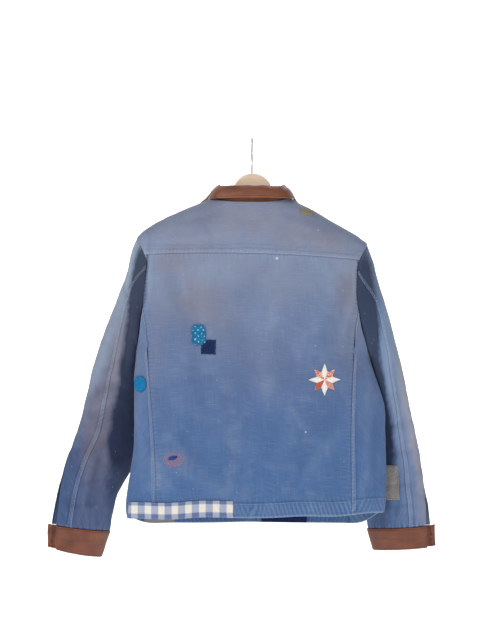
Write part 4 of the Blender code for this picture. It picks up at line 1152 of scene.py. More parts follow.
BODY_DUST = [(-0.114, -0.323, 0.060, 0.045, 0.55), (-0.160, -0.250, 0.040, 0.025, 0.45), (0.196, -0.303, 0.030, 0.050, 0.55),
             (0.100, -0.205, 0.060, 0.020, 0.35), (0.160, -0.215, 0.040, 0.025, 0.30), (0.000, -0.170, 0.080, 0.030, 0.30),
             (-0.130, -0.215, 0.050, 0.022, 0.25), (0.060, -0.300, 0.070, 0.040, 0.22), (-0.020, -0.255, 0.060, 0.020, 0.22),
             (-0.060, -0.370, 0.050, 0.050, 0.22), (0.020, -0.440, 0.060, 0.050, 0.14), (-0.150, -0.640, 0.026, 0.018, 0.35),
             (0.190, -0.410, 0.030, 0.060, 0.25), (-0.190, -0.400, 0.020, 0.080, 0.20)]
BODY_PALE = [(-0.185, -0.205, 0.050, 0.020, 0.20), (0.060, -0.262, 0.090, 0.014, 0.12), (-0.100, -0.262, 0.090, 0.012, 0.12)]


def skin(P0, N, h, wall=WALL):
    return P0 + N * (wall / 2 + h)[..., None]


def hand_wear(h):
    """Paler ridges, partly worn and partly painted highlight, and painted shade in the hollows, following a relief."""
    s = h - np.mean(h)
    return np.clip(s / 0.0150, -0.13, 0.13)


def panel(name, rows, relief, dust, dark=(), mat=None, outward=from_body, holes=None, paint=None):
    P0 = array(rows)
    N = normals(P0, outward)
    D = spans(P0)
    h, wear_and_shade = relief(P0, N, D)
    P = skin(P0, N, h)
    N2 = normals(P, outward)
    # wear_and_shade: the relief's wear and painted shade, less any dark spots given, which are painted shade too; tint:
    # brown dust
    attrs = dict(wear_and_shade=wear_and_shade - spots(P0, dark), tint=np.clip(spots(P0, dust), 0, 1))
    if paint is not None:
        paint = paint(P0)
        attrs = dict(wear_and_shade=attrs["wear_and_shade"] + paint[0], tint=np.clip(attrs["tint"] + paint[1], 0, 1))
    ob = make_sheet(name + "_cloth", P, N2, mat or BLUE, WALL, attrs, holes, "blue_cotton", name, D)
    declare(ob, P0)
    PANELS[name] = (P, N2, D)
    return ob


def add(*pairs):
    return sum(p[0] for p in pairs), sum(p[1] for p in pairs)


# yoke, with its collar seam, its lapped seam over the back and its shoulder seams
def yoke_relief(P, N, D):
    c = cloth(P, N)
    seam = felled(D, "B", "L", 0.0085, 0.0007, 1, 0.00045)
    h, w = add((c, hand_wear(c)), seam, felled(D, "L", "T", 0.0070, 0.0006, 2), felled(D, "R", "T", 0.0070, 0.0006, 3))
    # a groove at the third stitch row, darkened with painted shade
    d = np.exp(-((D["B"] - 0.019) / 0.0010) ** 2)
    return h - 0.0004 * d, w - 0.35 * d


panel("yoke", on_body(coons(yoke_top, yoke_bottom, lambda v: front_yoke(-1, v), lambda v: front_yoke(1, v), 220, 56)), yoke_relief, BODY_DUST)


def armhole_folds(P):
    """Sharp folds just inside the armholes, each darkened with painted shade, with a pale ridge of painted highlight
    beside each.
    """
    w = crease(P, -0.2045, -0.205, -0.2115, -0.345, 0.0017, -1.1, 0.0035) + crease(P, -0.2085, -0.200, -0.2165, -0.330, 0.0026, 0.55, 0.0030)
    w += crease(P, -0.1960, -0.222, -0.2060, -0.330, 0.0030, 0.30, 0.0020) + crease(P, 0.2085, -0.215, 0.2060, -0.345, 0.0016, -0.9, -0.0020)
    return w + crease(P, 0.2160, -0.205, 0.2110, -0.330, 0.0028, 0.60, -0.0020) + crease(P, 0.2010, -0.235, 0.2010, -0.330, 0.0026, 0.25, 0.0)


def back_relief(P, N, D):
    c = cloth(P, N)
    f = armhole_folds(P)
    # the armhole folds raise the relief a little and carry its painted shade and highlight
    return add((c, hand_wear(c)), (f * 0.0007, f), plain_seam(D, "T", "L", 4, 0.00045), plain_seam(D, "L", "T", 5), plain_seam(D, "R", "T", 6), hem_relief(D, 0.030, 7))


panel("back_panel", on_body(coons(yoke_seam, hem_edge(back_seam(-1, 1), back_seam(1, 1)), back_side(-1), back_side(1), 160, 200)), back_relief, BODY_DUST)


def side_relief(P, N, D):
    c = cloth(P, N)
    side_bulge = 0.0028 * np.exp(-((P[..., 2] + 0.420) / 0.028) ** 2)
    return add((c, hand_wear(c)), (side_bulge, 0 * c), felled(D, "L", "T", 0.0085, 0.0008, 8), plain_seam(D, "R", "T", 9), plain_seam(D, "T", "L", 10), hem_relief(D, 0.030, 11))


def front_relief(P, N, D):
    c = cloth(P, N)
    h, w = add((c, hand_wear(c)), plain_seam(D, "L", "T", 12), plain_seam(D, "T", "L", 13), hem_relief(D, 0.030, 14))
    d = D["R"]
    band = np.clip((0.032 - d) / 0.0015, 0, 1)
    return h + 0.0007 * band - 0.0004 * np.exp(-((d - 0.030) / 0.0009) ** 2), w + 0.5 * np.exp(-(d / 0.0016) ** 2)


for side, tag in ((-1, "l"), (1, "r")):
    panel("side_panel_" + tag, on_body(side_rows(side, 48, 150)), side_relief, BODY_DUST)
    panel("front_" + tag, lapped(front_rows(side, 70, 200), side), front_relief, BODY_DUST)


# ---------------------------------------------------------------- sleeves
def from_sleeve(side):
    def f(P):
        C = P.mean(axis=1, keepdims=True)
        return P - C
    return f


def from_upper(side):
    def f(P):
        """Outward from the sleeve's middle line at each height along it."""
        n = P.shape[0]
        C = np.array([[tuple((sleeve(side, j / (n - 1), 0) + sleeve(side, j / (n - 1), 180)) / 2)] for j in range(n)])
        return P - C
    return f


def upper_fine(side, na, nb, ns):
    """Upper sleeve in fine steps: the front part, the slit's column, the back part."""
    rows = []
    for j in range(ns + 1):
        s = j / ns
        k = smooth((s - SLIT_TOP) / 0.2)
        fa, fb = 3 - 3 * k, 3.6 + 6.4 * k
        row = []
        for i in range(na + 1):
            qo = -78 + 70 * i / na
            q = -78 + (qo + 78) * (fa + 78) / 70
            p = sleeve(side, s, q % 360)
            row.append(slit_open(side, p, s, 318 + 42 * min(1.0, max(0.0, (qo + 42) / 34)) if i < na else 360))
        for i in range(nb + 1):
            q = fb + (BACK_Q - fb) * i / nb
            row.append(sleeve(side, s, q % 360))
        rows.append(row)
    return rows


def sleeve_relief(side, upper):
    f = sleeve_cloth(side)

    def g(P, N, D):
        c = f(P, N)
        parts = [(c, hand_wear(c)), plain_seam(D, "T", "L", 15, 0.0005), plain_seam(D, "B", "L", 16, 0.0004)]
        if upper:
            parts += [felled(D, "R", "T", 0.0085, 0.0008, 17 + side), plain_seam(D, "L", "T", 18)]
        else:
            parts += [plain_seam(D, "L", "T", 19), plain_seam(D, "R", "T", 20)]
        return add(*parts)
    return g


def curve_of(x, stops):
    return np.interp(x, [a for a, b in stops], [b for a, b in stops])


SHADE_EDGE = {
    -1: [(-0.78, -.288), (-0.72, -.292), (-0.663, -.290), (-0.603, -.288), (-0.563, -.280), (-0.523, -.273), (-0.493, -.263), (-0.453, -.259),
         (-0.413, -.252), (-0.373, -.246), (-0.333, -.245), (-0.293, -.240), (-0.253, -.234), (-0.213, -.224)],
    1: [(-0.78, .274), (-0.70, .282), (-0.623, .287), (-0.583, .283), (-0.543, .276), (-0.493, .265), (-0.453, .256), (-0.413, .250),
        (-0.373, .250), (-0.333, .248), (-0.293, .241), (-0.253, .236), (-0.221, .228)]}
SHADE_AMP = {
    -1: [(-0.79, 0.10), (-0.72, 0.35), (-0.66, 0.60), (-0.60, 0.90), (-0.52, 1.15), (-0.45, 1.25), (-0.30, 1.25), (-0.25, 1.0), (-0.21, 0.6)],
    1: [(-0.79, 0.30), (-0.70, 0.60), (-0.62, 1.15), (-0.50, 1.35), (-0.38, 1.20), (-0.30, 0.90), (-0.25, 0.80), (-0.21, 0.5)]}
DUST_EDGE = {-1: [(-0.78, -.360), (-0.70, -.345), (-0.603, -.338), (-0.563, -.336), (-0.523, -.330), (-0.493, -.308), (-0.453, -.292), (-0.413, -.280),
                  (-0.373, -.264), (-0.33, -.250), (-0.21, -.220)]}


def sleeve_paint(side, P):
    """Painted shade on the inner side, painted highlight on the outer side, and brown dust between or along the outer
    edge; also a little darker low on the left sleeve.
    """
    z = P[..., 2]
    n = 0.0020 * bump2(P, 60 + side, 0.080, 0.100) + 0.0012 * bump2(P, 63, 0.012, 0.020)
    inward = (P[..., 0] * -side) + n                       # grows towards the body
    # edge and amp: where the painted shade on the inner side begins and how dark it is
    edge = -side * curve_of(z, SHADE_EDGE[side])
    amp = curve_of(z, SHADE_AMP[side])
    k = np.clip((inward - edge + 0.010) / 0.020, 0, 1)
    k = k * k * (3 - 2 * k)
    mottled = 0.25 * np.clip(bump2(P, 66, 0.010, 0.012), 0, 1) * np.exp(-((z + 0.345) / 0.035) ** 2)
    if side < 0:
        lo = -side * curve_of(z, DUST_EDGE[-1])
        band = np.clip((inward - lo + 0.008) / 0.018, 0, 1) * (1 - k)
        tint = band * curve_of(z, [(-0.79, 0.15), (-0.70, 0.25), (-0.60, 0.65), (-0.52, 0.50), (-0.45, 0.65), (-0.38, 0.5), (-0.33, 0.0)])
        # pale: painted highlight on the outer side
        pale = (1 - np.clip((inward - lo + 0.010) / 0.02, 0, 1)) * (1 - k) * curve_of(z, [(-0.66, 0.0), (-0.57, 0.25), (-0.52, 0.50), (-0.45, 0.60), (-0.25, 0.55), (-0.21, 0.3)])
        deep = 0.12 * np.clip((z + 0.560) / -0.05, 0, 1)
    else:
        out = P[..., 0] - curve_of(z, [(-0.78, .330), (-0.68, .326), (-0.60, .312), (-0.523, .298), (-0.45, .286), (-0.38, .274), (-0.21, .262)])
        tint = np.clip(out / 0.014 + 0.3 + n / 0.01, 0, 1) * curve_of(z, [(-0.79, 0.3), (-0.72, 0.6), (-0.62, 0.95), (-0.45, 0.85), (-0.38, 0.5), (-0.30, 0.2)])
        # pale: painted highlight on the lit part of the sleeve
        pale = (1 - k) * curve_of(z, [(-0.78, 0.05), (-0.68, 0.20), (-0.58, 0.40), (-0.45, 0.35), (-0.35, 0.05), (-0.21, 0.0)])
        deep = 0.0
    # painted highlight and painted shade go into wear_and_shade, brown dust into tint
    return pale - deep - (1.30 * amp - mottled) * k, np.clip(tint, 0, 1)


for side, tag in ((-1, "l"), (1, "r")):
    mat = BLUE_L if side < 0 else BLUE_R
    na, nb, ns = 36, 44, 200
    rows = upper_fine(side, na, nb, ns)
    holes = np.zeros((ns, na + nb + 1), bool)
    holes[int(SLIT_TOP * ns):, na] = True
    panel("sleeve_%s_upper" % tag, rows, sleeve_relief(side, True), (), (), mat, from_upper(side), holes, lambda P: sleeve_paint(side, P))
    under = [[slit_open(side, sleeve(side, j / 200, q), j / 200, q) for q in np.linspace(BACK_Q, FRONT_Q, 101)] for j in range(201)]
    panel("sleeve_%s_under" % tag, under, sleeve_relief(side, False), (), (), mat, from_upper(side), None, lambda P: sleeve_paint(side, P))


# ---------------------------------------------------------------- leather cuffs and collar
def leather_sheet(name, rows, relief, mat, outward):
    P0 = array(rows)
    N = normals(P0, outward)
    D = spans(P0)
    h, wear_and_shade = relief(P0, N, D)
    P = skin(P0, N, h, LEATHER)
    N2 = normals(P, outward)
    ob = make_sheet(name + "_hide", P, N2, mat, LEATHER, dict(wear_and_shade=wear_and_shade), None, "brown_leather", name, D)
    declare(ob, P0)
    PANELS[name] = (P, N2, D)
    return ob


def edge_work(D, edges, row=0.0030):
    h, w = 0.0, 0.0
    for e in edges:
        d = D[e]
        h = h - 0.0007 * np.clip(1 - d / 0.0020, 0, 1) ** 2 - 0.00035 * np.exp(-((d - row) / 0.0007) ** 2) + 0.0002 * np.exp(-((d - row * 1.9) / 0.0014) ** 2)
        # pale rubbed edges, and painted shade in the stitch groove
        w = w + 0.55 * np.exp(-(d / 0.0022) ** 2) - 0.45 * np.exp(-((d - row) / 0.0008) ** 2)
    return h, w


def cuff_relief(side):
    def g(P, N, D):
        h, w = edge_work(D, "LRTB")
        L, T = D["L"], D["T"]
        f = 0.0006 * np.sin(L / 0.0066 + 1.3 * waves(L, 40 + side, 0.03) + 0.10 * np.sin(T / 0.006)) * np.clip(1 - T / 0.040, 0.15, 1)
        f = f + 0.0007 * bump2(P, 41 + side, 0.040, 0.050) - 0.0004 * np.exp(-((T - 0.021 - 0.003 * np.sin(L / 0.02)) / 0.0030) ** 2)
        # the colour follows the folds as painted shade in their hollows and painted highlight on their ridges; the
        # bump2 term is uneven tone
        return h + f, w + np.clip(f / 0.0040, -0.3, 0.3) + 0.10 * bump2(P, 44, 0.050, 0.030)
    return g


for side, tag in ((-1, "l"), (1, "r")):
    rows = [[cuff(side, j / 40, q) for q in np.linspace(11, 357, 181)] for j in range(41)]
    leather_sheet("cuff_" + tag, rows, cuff_relief(side), HIDE, lambda P: P - P.mean(axis=1, keepdims=True))


def stand_relief(P, N, D):
    h, w = edge_work(D, "LRB", 0.0026)
    return h + 0.0004 * bump2(P, 47, 0.03, 0.02), w + 0.2 * bump2(P, 48, 0.03, 0.02)


def fall_relief(P, N, D):
    h, w = edge_work(D, "LRB", 0.0034)
    f = 0.0006 * bump2(P, 49, 0.040, 0.030) + 0.0004 * np.sin(D["L"] / 0.007 + waves(D["L"], 50, 0.03)) * np.exp(-((D["T"] - 0.012) / 0.008) ** 2)
    return h + f, w + 0.12 * bump2(P, 51, 0.03, 0.012) + 0.30 * np.exp(-(D["T"] / 0.004) ** 2)


def from_neck(P):
    Q = P.copy()
    Q[..., 2] = 0
    return Q


leather_sheet("collar_stand", [[stand_point(collar_angle(i / 200), j / 14) for i in range(201)] for j in range(15)], stand_relief, HIDE_C, from_neck)
leather_sheet("collar_fall", [[fall_point(collar_angle(i / 220), j / 24) for i in range(221)] for j in range(25)], fall_relief, HIDE_C, from_neck)


# ---------------------------------------------------------------- patches
def on_cloth(XZ, front=False):
    """Points and normals on the body's folded skin above places in the photo's plane."""
    P, N = [], []
    for x, z in XZ:
        p = body_out(x, z, 0.0, front)
        n = (body_out(x, z, 0.001, front) - p) * 1000
        P.append(tuple(p))
        N.append(tuple(n))
    P, N = np.array(P), np.array(N)
    return P + N * (WALL / 2 + cloth(P, N))[:, None], N


def fan(name, outline, centre, mats, lift, rings=14, fine=6, wall=0.0008, seed=1, sector=None, grooves=(), pucker=0.00025):
    r = np.random.RandomState(seed)
    pts = []
    for a, b in zip(outline, outline[1:] + outline[:1]):
        pts += [mixed(a, b, i / fine) for i in range(fine)]
    n = len(pts)
    k = np.arange(n)
    O, C = np.array(pts), np.array(centre)
    R = np.linalg.norm(O - C, axis=1)
    O = C + (O - C) * (1 + (0.00035 * np.sin(k * 6.2832 * 9 / n + r.uniform(0, 6)) + 0.00025 * np.sin(k * 6.2832 * 17 / n + 1)) / R)[:, None]
    F = np.linspace(0, 1, rings + 1)[1:]
    XZ = [tuple(C)] + [tuple(C + (O[q] - C) * f) for f in F for q in range(n)]
    P, N = on_cloth(XZ)
    E = np.concatenate([[R.min()], np.concatenate([(1 - f) * R for f in F])])
    K = np.concatenate([[0], np.tile(k, rings)])
    h = lift + 0.0003 * np.exp(-((E - 0.0012) / 0.0010) ** 2) - 0.0002 * np.exp(-((E - 0.0028) / 0.0007) ** 2)
    h = h + pucker * np.sin(K * 6.2832 * 14 / n) * np.exp(-(E / 0.004) ** 2)
    wear_and_shade = 0.5 * np.exp(-(E / 0.0010) ** 2)
    groove = 0 * h
    for g in grooves:
        across = np.abs(np.sin(np.arctan2(np.array(XZ)[:, 1] - C[1], np.array(XZ)[:, 0] - C[0]) - g)) * np.hypot(np.array(XZ)[:, 0] - C[0], np.array(XZ)[:, 1] - C[1])
        groove = np.maximum(groove, 0.0005 * np.exp(-(across / 0.0007) ** 2))
    h = h - groove
    P = P + N * h[:, None]
    faces, which = [], []
    for j in range(rings):
        for q in range(n):
            a, b = 1 + j * n + q, 1 + j * n + (q + 1) % n
            faces.append((0, a, b) if j == 0 else (a - n, a, b, b - n))
            which.append(sector(q, n) if sector else 0)
    f0 = faces[-1]
    if np.dot(np.cross(P[f0[1]] - P[f0[0]], P[f0[2]] - P[f0[0]]), N[f0[0]]) < 0:
        faces = [f[::-1] for f in faces]
    mesh = bpy.data.meshes.new(name + "_patch")
    mesh.from_pydata(P.tolist(), [], faces)
    uv = mesh.uv_layers.new(name="cut")
    loops = np.empty(len(mesh.loops), np.int32)
    mesh.loops.foreach_get("vertex_index", loops)
    uv.data.foreach_set("uv", (np.array(XZ)[loops] - C + 0.05).astype(np.float32).reshape(-1))
    at = mesh.attributes.new("wear_and_shade", "FLOAT", "POINT")
    at.data.foreach_set("value", wear_and_shade.astype(np.float32))
    mesh.polygons.foreach_set("use_smooth", [True] * len(mesh.polygons))
    mesh.polygons.foreach_set("material_index", which)
    for m in mats:
        mesh.materials.append(m)
    mesh.update()
    ob = bpy.data.objects.new(name + "_patch", mesh)
    bpy.context.scene.collection.objects.link(ob)
    s = ob.modifiers.new("wall", "SOLIDIFY")
    s.thickness = wall
    s.offset = -1
    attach(ob, "root")
    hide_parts(name)
    w, l = float(np.ptp(O[:, 0])), float(np.ptp(O[:, 1]))
    area = 0.5 * abs(float(np.sum(O[:, 0] * np.roll(O[:, 1], -1) - np.roll(O[:, 0], -1) * O[:, 1])))
    SHEETS.append((ob.name, round(w, 3), round(l, 3), round(area, 4)))
    return O, C


def rim_stitches(group, O, C, inset, pitch, whip=False, lift=0.0, radius=0.00036):
    """Running stitches round a patch, or short ones that cross its edge."""
    R = np.linalg.norm(O - C, axis=1)
    A = C + (O - C) * (1 - inset / R)[:, None]
    ring = np.concatenate([A, A[:1]])
    if not whip:
        P, N = on_cloth([tuple(a) for a in ring])
        add_stitches(group, P + N * lift, N, pitch, 0.62, radius)
        return
    seg = np.concatenate([[0], np.cumsum(np.linalg.norm(np.diff(ring, axis=0), axis=1))])
    for s in np.arange(0.5 * pitch, seg[-1], pitch):
        p = np.array([np.interp(s, seg, ring[:, 0]), np.interp(s, seg, ring[:, 1])])
        d = (p - C) / np.linalg.norm(p - C)
        P, N = on_cloth([tuple(p - d * 0.0012), tuple(p), tuple(p + d * 0.0014)])
        q = P + N * np.array([lift, lift, 0.0004])[:, None]
        STITCH_SETS.setdefault(group, []).append((q[:1], q[2:], N[:1], radius))


navy = fan("patch_navy", quad(-0.0860, -0.4160, 0.0285, 0.0285, -2), (-0.0860, -0.4160), [NAVY_M.m], 0.0010, seed=2)
rim_stitches("patch_stitches_navy", *navy, 0.0022, 0.0036, lift=0.0013)
dotted = fan("patch_dotted", quad(-0.1055, -0.3920, 0.028, 0.040, 2, 0.006), (-0.1055, -0.3920), [DOT_M.m], 0.0023, seed=3)
rim_stitches("patch_stitches_navy", *dotted, 0.0020, 0.0036, lift=0.0026)
star = []
for i in range(16):
    r = 0.0320 if i % 4 == 0 else (0.0290 if i % 2 == 0 else 0.0165)
    a = math.radians(22.5 * i)
    star.append((0.1420 + r * math.cos(a), -0.4805 + r * math.sin(a)))


def star_colour(q, n):
    k = int(((q + 0.5) / n * 16 + 1) // 2) % 8       # 0 right, then anticlockwise in steps of 45 degrees
    return {0: 0, 2: 0, 4: 0, 6: 0, 1: 1, 3: 1, 5: 2, 7: 3}[k]


PALE_RED = plain_cloth("quilt_pale_print", lin(184, 116, 100), lin(214, 160, 146))[0].m
stars = fan("patch_star", star, (0.1420, -0.4805), [WHITE_M.m, RED_M.m, RED2_M.m, PALE_RED], 0.0011, rings=18, fine=6, seed=4,
            sector=star_colour, grooves=[math.radians(22.5 + 45 * k) for k in range(8)])
rim_stitches("patch_stitches_white", *stars, 0.0009, 0.0030, lift=0.0014)
round_out = [(-0.2200 + 0.0115 * math.cos(math.radians(15 * i)), -0.4900 + 0.0155 * math.sin(math.radians(15 * i))) for i in range(24)]
rounds = fan("patch_round", round_out, (-0.2200, -0.4900), [TEAL_M.m], 0.0030, fine=3, seed=5)
rim_stitches("patch_stitches_teal", *rounds, 0.0003, 0.0026, whip=True, lift=0.0032)


def grid_patch(name, P0, N, mat, slot, lift, wear_and_shade=None, D=None, h=0.0, wall=0.0009):
    D = D or spans(P0)
    e = np.minimum(np.minimum(D["L"], D["R"]), np.minimum(D["T"], D["B"]))
    pk = np.sin((D["L"] + D["T"]) * 6.2832 / 0.0052)
    hh = lift + h + 0.0003 * np.exp(-((e - 0.0012) / 0.0010) ** 2) - 0.0002 * np.exp(-((e - 0.0028) / 0.0007) ** 2) + 0.0002 * pk * np.exp(-(e / 0.004) ** 2)
    P = P0 + N * np.asarray(hh)[..., None]
    ob = make_sheet(name + "_patch", P, N, mat, wall, dict(wear_and_shade=0.5 * np.exp(-(e / 0.0012) ** 2)), None, slot, name, D)
    w, l, area = flat_facts(P0)
    SHEETS.append((ob.name, round(w, 3), round(l, 3), round(area, 4)))
    PANELS[name] = (P, N, D)
    return P, N, D


def cloth_grid(xz, front=False):
    nv, nu = len(xz), len(xz[0])
    P, N = on_cloth([q for row in xz for q in row], front)
    return P.reshape(nv, nu, 3), N.reshape(nv, nu, 3)


P0, N0 = cloth_grid([[(0.0955 + 0.0245 * i / 24 + 0.0004 * math.sin(j), -0.1430 - 0.0045 * i / 24 - 0.0100 * j / 14 - 0.0005 * math.sin(i / 5)) for i in range(25)] for j in range(15)])
grid_patch("patch_mustard", P0, N0, MUST_M.m, "mustard_cotton", 0.0012)
xz, B = [], []
for j in range(43):
    row, brow = [], []
    for i in range(261):
        x = -0.2440 + 0.2060 * i / 260
        zh = hem_z(angle_at(x, -0.745))
        b = 0.0005 + 0.0330 * (1 - j / 42)
        row.append((x, zh + b))
        brow.append(b)
    xz.append(row)
    B.append(brow)
P0, N0 = cloth_grid(xz)
D = spans(P0)
D["L"] = P0[..., 0] + 0.2440
D["R"] = D["L"][:, -1:] - D["L"]
rope = hem_relief(dict(B=np.array(B), L=spans(P0)["L"]), 0.030, 7)
grid_patch("patch_gingham", P0, N0, GING_M.m, "gingham", 0.0026, D=D, h=0.55 * rope[0])
P0 = array([[sleeve(1, sleeve_at(1, 116 - 40 * i / 30, -0.6556 - 0.0710 * j / 40), 116 - 40 * i / 30) for i in range(31)] for j in range(41)])
N0 = normals(P0, lambda P: P * 0 + np.array([0.0, -1.0, 0.0]))
P0 = P0 + N0 * (WALL / 2 + sleeve_cloth(1)(P0, N0))[..., None]
grid_patch("patch_sleeve", P0, N0, KHAKI_M.m, "grey_canvas", 0.0013)
for nm, xa, xb, m, sl in (("patch_front_navy", 0.020, 0.112, NAVY_M.m, "navy_cotton"), ("patch_front_tan", -0.218, -0.156, KHAKI_M.m, "grey_canvas")):
    rows = []
    for j in range(21):
        row = []
        for i in range(61):
            t = angle_at(xa + (xb - xa) * i / 60, -0.76, True)
            row.append(body(t, hem_z(t) + 0.0006 + 0.024 * (1 - j / 20)) + Vector((0, -0.0012, 0)))
        rows.append(row)
    P0 = array(rows)
    back = np.zeros(P0.shape) + np.array([0.0, -1.0, 0.0])
    out = -normals(P0, lambda P: -back)
    f = cloth(P0, -out)
    P0 = P0 - out * f[..., None]
    grid_patch(nm, P0, back, m, sl, 0.0010)

# oval darn low on the back: rows of short pink stitches round a blue middle
for j in range(-7, 8):
    z = -0.6386 + 0.0018 * j
    half = 0.0205 * math.sqrt(max(0.0, 1 - (0.0018 * j / 0.0134) ** 2))
    x = -0.1552 - half + 0.0010 * (j % 2)
    while x < -0.1552 + half:
        a, b = x + 0.0012 + 0.1560, z + 0.6350
        u_, v_ = a * 0.94 + b * 0.34, -a * 0.34 + b * 0.94
        blue = (u_ / 0.0105) ** 2 + (v_ / 0.0042) ** 2 < 1
        P, N = on_cloth([(x, z - 0.0005), (x + (0.0026 if blue else 0.0016), z + 0.0010 + 0.0003 * math.sin(x * 900))])
        P = P + N * (0.0005 if blue else 0.0003)
        STITCH_SETS.setdefault("darn_blue" if blue else "darn_pink", []).append((P[:1], P[1:], N[:1], 0.00075 if blue else 0.00048))
        x += 0.0024 if blue else 0.0026 + 0.0008 * (1 + math.sin(x * 700 + j))


# ---------------------------------------------------------------- seam stitches
for d in (0.0016, 0.0044, 0.0072):
    add_stitches("seam_stitches_body", *edge_line("yoke", "B", d, 0.205, 0.795))
    for tag in "lr":
        add_stitches("seam_stitches_body", *edge_line("side_panel_" + tag, "L", d, 0.01, 0.99))
        add_stitches("seam_stitches_sleeves", *edge_line("sleeve_%s_upper" % tag, "R", d, 0.01, 0.985))
add_stitches("seam_stitches_body", *edge_line("yoke", "B", 0.0190, 0.23, 0.77), radius=0.0003)
for e in "LR":
    for d in (0.0018, 0.0060):
        add_stitches("seam_stitches_body", *edge_line("yoke", e, d, 0.03, 0.97))
for nm in ("back_panel", "side_panel_l", "side_panel_r", "front_l", "front_r"):
    for d in (0.0032, 0.0276):
        add_stitches("seam_stitches_hem", *edge_line(nm, "B", d, 0.005, 0.995))
for tag in "lr":
    for d in (0.0028, 0.0292):
        add_stitches("seam_stitches_front", *edge_line("front_" + tag, "R", d, 0.01, 0.985))
    add_stitches("seam_stitches_hem", *edge_line("sleeve_%s_upper" % tag, "B", 0.0030, 0.02, 0.43))
    add_stitches("seam_stitches_hem", *edge_line("sleeve_%s_upper" % tag, "B", 0.0030, 0.47, 0.98))
    for e in "TB":
        add_stitches("leather_stitches", *edge_line("cuff_" + tag, e, 0.0030, 0.02, 0.98, 0.0001), pitch=0.0034)
    for e in "LR":
        add_stitches("leather_stitches", *edge_line("cuff_" + tag, e, 0.0030, 0.08, 0.92, 0.0001), pitch=0.0034)
add_stitches("leather_stitches", *edge_line("collar_fall", "B", 0.0034, 0.02, 0.98, 0.0001), pitch=0.0034)
add_stitches("leather_stitches", *edge_line("collar_stand", "B", 0.0026, 0.02, 0.98, 0.0001), pitch=0.0034)
for e in "TB":
    add_stitches("seam_stitches_hem", *edge_line("patch_gingham", e, 0.0020, 0.005, 0.995, 0.0003), pitch=0.0040)
    add_stitches("patch_stitches_teal", *edge_line("patch_sleeve", e, 0.0022, 0.05, 0.95, 0.0003), pitch=0.0040)
for e in "LR":
    add_stitches("patch_stitches_teal", *edge_line("patch_sleeve", e, 0.0022, 0.05, 0.95, 0.0003), pitch=0.0040)
    add_stitches("patch_stitches_pale", *edge_line("patch_mustard", e, 0.0018, 0.05, 0.95, 0.0003), pitch=0.0034)
for e in "TB":
    add_stitches("patch_stitches_pale", *edge_line("patch_mustard", e, 0.0018, 0.05, 0.95, 0.0003), pitch=0.0034)
for group, mat in (("seam_stitches_body", THREAD), ("seam_stitches_sleeves", THREAD), ("seam_stitches_hem", THREAD), ("seam_stitches_front", THREAD),
                   ("leather_stitches", THREAD_B), ("patch_stitches_pale", THREAD), ("patch_stitches_navy", THREAD_D), ("patch_stitches_white", THREAD_W),
                   ("patch_stitches_teal", THREAD_D), ("darn_pink", THREAD_P), ("darn_blue", THREAD_N)):
    sew(group, mat)


# ---------------------------------------------------------------- buttons: rim, dished face, four sewn holes
def button_mesh(name, r, thick):
    n, prof = 64, [(0.0, -thick / 2)]
    prof += [(r * 0.80 * i / 4, -thick / 2) for i in range(1, 5)]
    prof += [(r * 0.97, -thick / 2 + 0.0006), (r, -thick / 2 + 0.0013), (r, thick / 2 - 0.0011), (r * 0.95, thick / 2 - 0.0003), (r * 0.88, thick / 2)]
    prof += [(r * 0.80, thick / 2 - 0.0002), (r * 0.72, thick / 2 - 0.0008)]
    prof += [(r * 0.72 * (1 - i / 14), thick / 2 - 0.0009) for i in range(1, 15)]
    hole = r * 0.26
    V, F = [], []
    for a, z in prof:
        for k in range(n):
            t = 2 * math.pi * k / n
            x, y, h = a * math.cos(t), a * math.sin(t), z
            if z > 0 and a < r * 0.72:
                for sx in (-1, 1):
                    for sy in (-1, 1):
                        h -= 0.0011 * math.exp(-(math.hypot(x - sx * hole, y - sy * hole) / (r * 0.115)) ** 4)
            V.append((x, y, h))
    for j in range(len(prof) - 1):
        for k in range(n):
            F.append((j * n + k, j * n + (k + 1) % n, (j + 1) * n + (k + 1) % n, (j + 1) * n + k))
    mesh = bpy.data.meshes.new(name)
    mesh.from_pydata(V, [], F)
    bm = bmesh.new()
    bm.from_mesh(mesh)
    bmesh.ops.remove_doubles(bm, verts=bm.verts, dist=0.00001)
    bmesh.ops.recalc_face_normals(bm, faces=bm.faces)
    bm.to_mesh(mesh)
    bm.free()
    mesh.polygons.foreach_set("use_smooth", [True] * len(mesh.polygons))
    mesh.materials.append(HORN.m)
    return mesh


def sewn_button(name, place, out, r, thick=0.0030):
    ob = bpy.data.objects.new(name + "_horn", button_mesh(name + "_horn", r, thick))
    ob.location = place + out * (thick / 2)
    q = out.to_track_quat("Z", "Y")
    ob.rotation_euler = q.to_euler()
    bpy.context.scene.collection.objects.link(ob)
    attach(ob, "root")
    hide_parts(name)
    hole = r * 0.26
    for sx, sy, ex, ey in ((-1, -1, 1, 1), (-1, 1, 1, -1)):
        for off in (-0.00025, 0.00025):
            a, b = Vector((sx * hole + off, sy * hole - off, thick / 2 - 0.0007)), Vector((ex * hole + off, ey * hole - off, thick / 2 - 0.0007))
            A, B = ob.location + q @ a, ob.location + q @ b
            STITCH_SETS.setdefault("button_thread", []).append((np.array([tuple(A)]), np.array([tuple(B)]), np.array([tuple(out)]), 0.00035))
    return ob


for i in range(5):
    z = -0.235 - 0.116 * i
    p = body(angle_at(-0.006, z, True), z)
    sewn_button("button_%d" % (i + 1), p + Vector((0, 0.0042 + 0.0024, 0)), Vector((0, 1, 0)), 0.0085)
for side, tag in ((-1, "l"), (1, "r")):
    p = cuff(side, 0.5, 322)
    c = (cuff(side, 0.5, 90) + cuff(side, 0.5, 270)) / 2
    n = (cuff(side, 0.5, 328) - cuff(side, 0.5, 316)).cross(cuff(side, 0.7, 322) - cuff(side, 0.3, 322)).normalized()
    if n.dot(p - c) < 0:
        n = -n
    sewn_button("button_cuff_" + tag, p + n * 0.0034, n, 0.0075)
sew("button_thread", THREAD_W)


